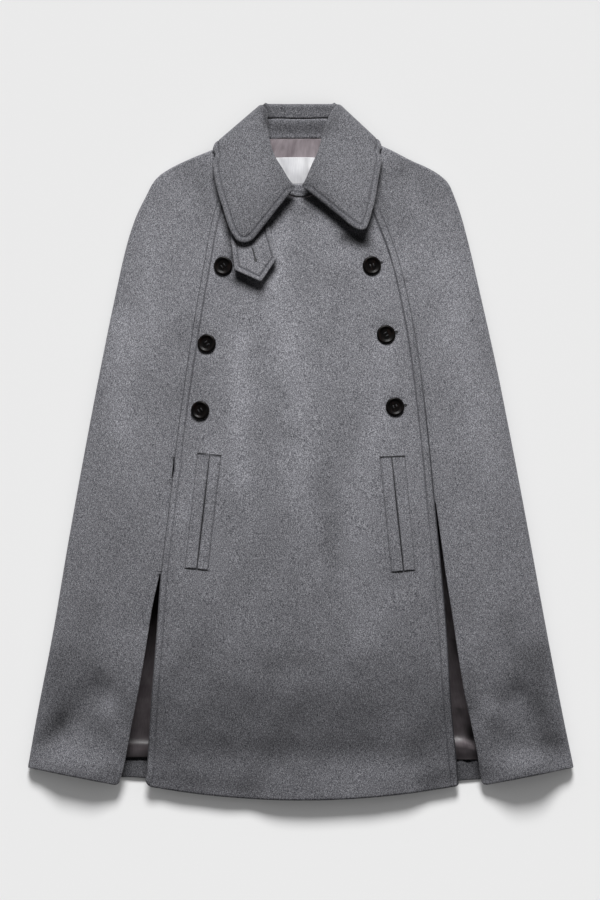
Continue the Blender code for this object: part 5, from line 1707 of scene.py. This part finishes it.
@dataclass
class HornButtons(ClothWork):
    """Six turned horn buttons with a rim, a dish and four sewing holes, sewn with dark thread."""
    places: tuple = (
        ("minus_x_upper", -98.6, 682.8), ("minus_x_middle", -119.3, 583.7),
        ("minus_x_lower", -127.6, 498.6), ("plus_x_upper", 90.3, 683.2),
        ("plus_x_middle", 108.6, 595.3), ("plus_x_lower", 119.9, 503.1))
    holes: tuple = (
        ("plus_x_upper", (104.4, 687.6), (82, 680.8)),
        ("plus_x_middle", (123.6, 598.8), (100.6, 593.8)),
        ("plus_x_lower", (135.4, 505.4), (112, 503.2)))
    radius: float = 12.0
    seat: float = 0.5
    profile: tuple = (
        (0, 0), (8.6, 0), (10.6, 0.5), (11.7, 1.4), (12, 2.4), (11.85, 3.2), (11.3, 3.95), (10.4, 4.4),
        (9.5, 4.35), (8.6, 3.95), (7.9, 3.35), (7.3, 3.05), (6, 2.95), (3, 2.9), (0, 2.9))
    steps: int = 56
    hole_spread: float = 2.1
    hole_radius: float = 0.85
    thread: tuple = (0.62, 0.45)  # half width and half height of a bar of thread
    thread_arch: tuple = (2.75, 0.55)  # height at the holes, and rise between them
    turns: tuple = (17, 1)  # degrees, by the length of its name and its level
    sharp: float = 50.0  # degrees between faces at a sharp edge

    def turned(self) -> Piece:
        """Turn the button's profile about z, at the origin, and drill its holes."""
        blank = new_object("button_blank", [(r * MM, 0.0, z * MM) for r, z in self.profile], [],
                           [(i, i + 1) for i in range(len(self.profile) - 1)])
        select(blank)
        bpy.ops.object.mode_set(mode="EDIT")
        bpy.ops.mesh.select_all(action="SELECT")
        bpy.ops.mesh.spin(steps=self.steps, angle=2.0 * math.pi, center=(0, 0, 0), axis=(0, 0, 1))
        bpy.ops.mesh.select_all(action="SELECT")
        bpy.ops.mesh.remove_doubles(threshold=0.00002)
        bpy.ops.mesh.normals_make_consistent(inside=False)
        bpy.ops.object.mode_set(mode="OBJECT")
        spread = self.hole_spread * MM
        for x, y in ((-spread, -spread), (-spread, spread), (spread, -spread), (spread, spread)):
            drill = primitive(bpy.ops.mesh.primitive_cylinder_add, "drill", vertices=16,
                              radius=self.hole_radius * MM, depth=0.02, location=(x, y, 0.0))
            apply_modifier(blank, "BOOLEAN", operation="DIFFERENCE", object=drill, solver="EXACT")
            bpy.data.objects.remove(drill)
        return blank

    def seating(self, x: float, up: float) -> Matrix:
        """Where a button sits: on the cloth and square to it."""
        step = self.radius
        top = self.form.front_top
        rise_x = float(top(x + step, up) - top(x - step, up)) / (2 * step)
        rise_up = float(top(x, up + step) - top(x, up - step)) / (2 * step)
        normal = Vector((-rise_x, -rise_up, 1.0)).normalized()
        first = Vector((1.0, 0.0, rise_x)).normalized()
        second = normal.cross(first)
        centre = Vector(to_frame((x, up, float(top(x, up))))) + normal * self.seat * MM
        turn = Matrix((first, second, normal)).transposed().to_4x4()
        return Matrix.Translation(centre) @ turn

    def sewing(self) -> tuple[Array, list]:
        """Points and faces of the thread between the holes, as two parallel bars."""
        low, arch = self.thread_arch
        points, faces = [], []
        for side in (-1, 1):
            rings = [ring(along * self.hole_spread, 8, *self.thread)
                     + (0.0, side * self.hole_spread, low + arch * (1.0 - along ** 2))
                     for along in np.linspace(-1.0, 1.0, 7)]
            bar, bar_faces = tube(rings)
            faces += [tuple(len(bar) * len(points) + k for k in face) for face in bar_faces]
            points.append(bar)
        return np.concatenate(points) * MM, faces

    def work_holes(self, buttonholes: Buttonholes) -> None:
        """Work the plus side's buttonholes, whose eyes show at the buttons' rims."""
        for name, eye, inner in self.holes:
            buttonholes.work(f"buttonhole_{name}", eye, inner, self.form.front_top)

    def build(self) -> None:
        """Build the six buttons and their thread."""
        blank = self.turned()
        by_name, by_level = self.turns
        for place, x, up in self.places:
            name = f"button_{place}"
            turn = Matrix.Rotation(math.radians(by_name * len(name) + by_level * up), 4, "Z")
            seat = self.seating(x, up) @ turn
            button = link(f"{name}_horn", blank.data.copy())
            button.data.transform(seat)
            button.data.shade_smooth()
            button.data.set_sharp_from_angle(angle=math.radians(self.sharp))
            hand_over(button, self.finishes.horn, (name,))
            thread = new_object(f"{name}_thread", *self.sewing(), [])
            thread.data.transform(seat)
            hand_over(thread, self.finishes.dark_thread_and_shadow)
        bpy.data.objects.remove(blank)


# ---- Studio ----

@dataclass(frozen=True)
class Lamp:
    """A lamp: where it stands from the middle of the coat, what it shines at, how strongly."""
    name: str
    kind: str
    energy: float
    azimuth: float  # degrees from +Y towards +X
    elevation: float
    distance: float = 3.0
    aim: tuple = (0.0, 0.0)
    softness: float = 20.0  # degrees across, seen from the coat
    cone: float = 0.0  # degrees across, for a spot
    stretch: float = 1.0  # of a spot's cone, sideways


@dataclass
class Studio:
    """A pale floor, soft light from beyond the collar, and a camera straight above."""
    floor_colour: str = "#e4e4e4"
    floor_size: float = 14.0
    backdrop: str = "#ececec"
    fill: float = 0.032
    coat_lamps: tuple = (
        Lamp("key_softbox", "SPOT", 590.0, 0.0, 34.0, 3.0, (0.0, -0.1), 26.0, 40.0, 1.5),
        Lamp("minus_x_softbox", "SPOT", 12.0, -75.0, 30.0, 3.0, (0.0, 0.0), 26.0, 24.0, 1.6),
        Lamp("plus_x_softbox", "SPOT", 18.0, 75.0, 30.0, 3.0, (0.0, 0.0), 26.0, 24.0, 1.6))
    floor_lamps: tuple = (Lamp("floor_key", "SUN", 3.71, 0.0, 40.0),
                          Lamp("floor_fill", "SUN", 0.85, 0.0, 88.0, softness=130.0))
    camera_place: tuple = (-0.0009, 0.0015)
    camera_height: float = 14.0
    camera_view: float = 1.152

    def add_lamp(self, lamp: Lamp, receivers: bpy.types.Collection) -> None:
        """Add a lamp that lights these objects only."""
        light = bpy.data.lights.new(lamp.name, lamp.kind)
        light.energy = lamp.energy
        if lamp.kind == "SUN":
            light.angle = math.radians(lamp.softness)
        else:
            light.spot_size, light.spot_blend = math.radians(lamp.cone), 1.0
            light.shadow_soft_size = lamp.distance * math.tan(math.radians(lamp.softness / 2.0))
        across, rise = math.radians(lamp.azimuth), math.radians(lamp.elevation)
        toward = Vector((math.sin(across) * math.cos(rise), math.cos(across) * math.cos(rise),
                         math.sin(rise)))
        piece = link(lamp.name, light)
        piece.location = Vector((*lamp.aim, 0.0)) + toward * lamp.distance
        piece.rotation_euler = (-toward).to_track_quat("-Z", "Y").to_euler()
        piece.scale = (lamp.stretch, 1.0, 1.0)
        piece.light_linking.receiver_collection = receivers

    def build_world(self) -> None:
        """Give soft light from everywhere, and a pale backdrop."""
        world = bpy.data.worlds.new("studio")
        bpy.context.scene.world = world
        world.use_nodes = True
        tree = world.node_tree
        tree.nodes.clear()
        rays = add_node(tree, "LightPath")
        seen = add_node(tree, "Background", {"Color": linear(self.backdrop), "Strength": 1.0})
        soft = add_node(tree, "Background", {"Color": linear("#ffffff"), "Strength": self.fill})
        both = add_node(tree, "MixShader", {}, {
            0: rays.outputs["Is Camera Ray"], 1: soft.outputs[0], 2: seen.outputs[0]})
        add_node(tree, "OutputWorld", {}, {"Surface": both.outputs[0]})

    def build_floor(self) -> Piece:
        """Build the floor."""
        floor = primitive(bpy.ops.mesh.primitive_plane_add, "floor", size=self.floor_size)
        paper = Shading("plain_paper_floor", Roughness=0.9, Specular_IOR_Level=0.1,
                        Base_Color=linear(self.floor_colour))
        floor.data.materials.append(paper.material)
        floor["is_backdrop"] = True
        return floor

    def build_camera(self) -> None:
        """Set the camera straight above, far enough to show heights without leaning."""
        lens = bpy.data.cameras.new("camera")
        lens.sensor_width = 36.0
        lens.lens = 36.0 * self.camera_height / self.camera_view
        lens.clip_end = 2.0 * self.camera_height
        camera = link("camera", lens)
        camera.location = (*self.camera_place, self.camera_height)
        bpy.context.scene.camera = camera

    def build(self) -> None:
        """Build the floor, the lights and the camera."""
        bpy.context.scene.view_settings.view_transform = "Standard"
        coat, ground = (bpy.data.collections.new(name) for name in ("coat", "ground"))
        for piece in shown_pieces():
            coat.objects.link(piece)
        ground.objects.link(self.build_floor())
        self.build_world()
        for lamps, receivers in ((self.coat_lamps, coat), (self.floor_lamps, ground)):
            for lamp in lamps:
                self.add_lamp(lamp, receivers)
        self.build_camera()


def main() -> None:
    """Build the coat's sub-assemblies in order, then the studio round them."""
    logging.basicConfig(level=logging.INFO, format="%(message)s")
    form = CoatForm()
    finishes = Finishes()
    stitching, buttonholes = Stitching(finishes), Buttonholes(finishes)
    wings = {side: CapeWing(form, finishes, side) for side in Side}
    BackBody(form, finishes, wings).build()
    for wing in wings.values():
        wing.build()
    fronts = FrontPanels(form, finishes)
    fronts.build_under()
    fronts.build_over(stitching)
    collar = Collar(form, finishes)
    collar.build_stand()
    collar.build_fall(stitching)
    collar.build_band()
    ThroatTab(form, finishes).build(stitching, buttonholes)
    PocketWelts(form, finishes).build(stitching)
    buttons = HornButtons(form, finishes)
    buttons.build()
    buttons.work_holes(buttonholes)
    Studio().build()


if __name__ == "__main__":
    main()
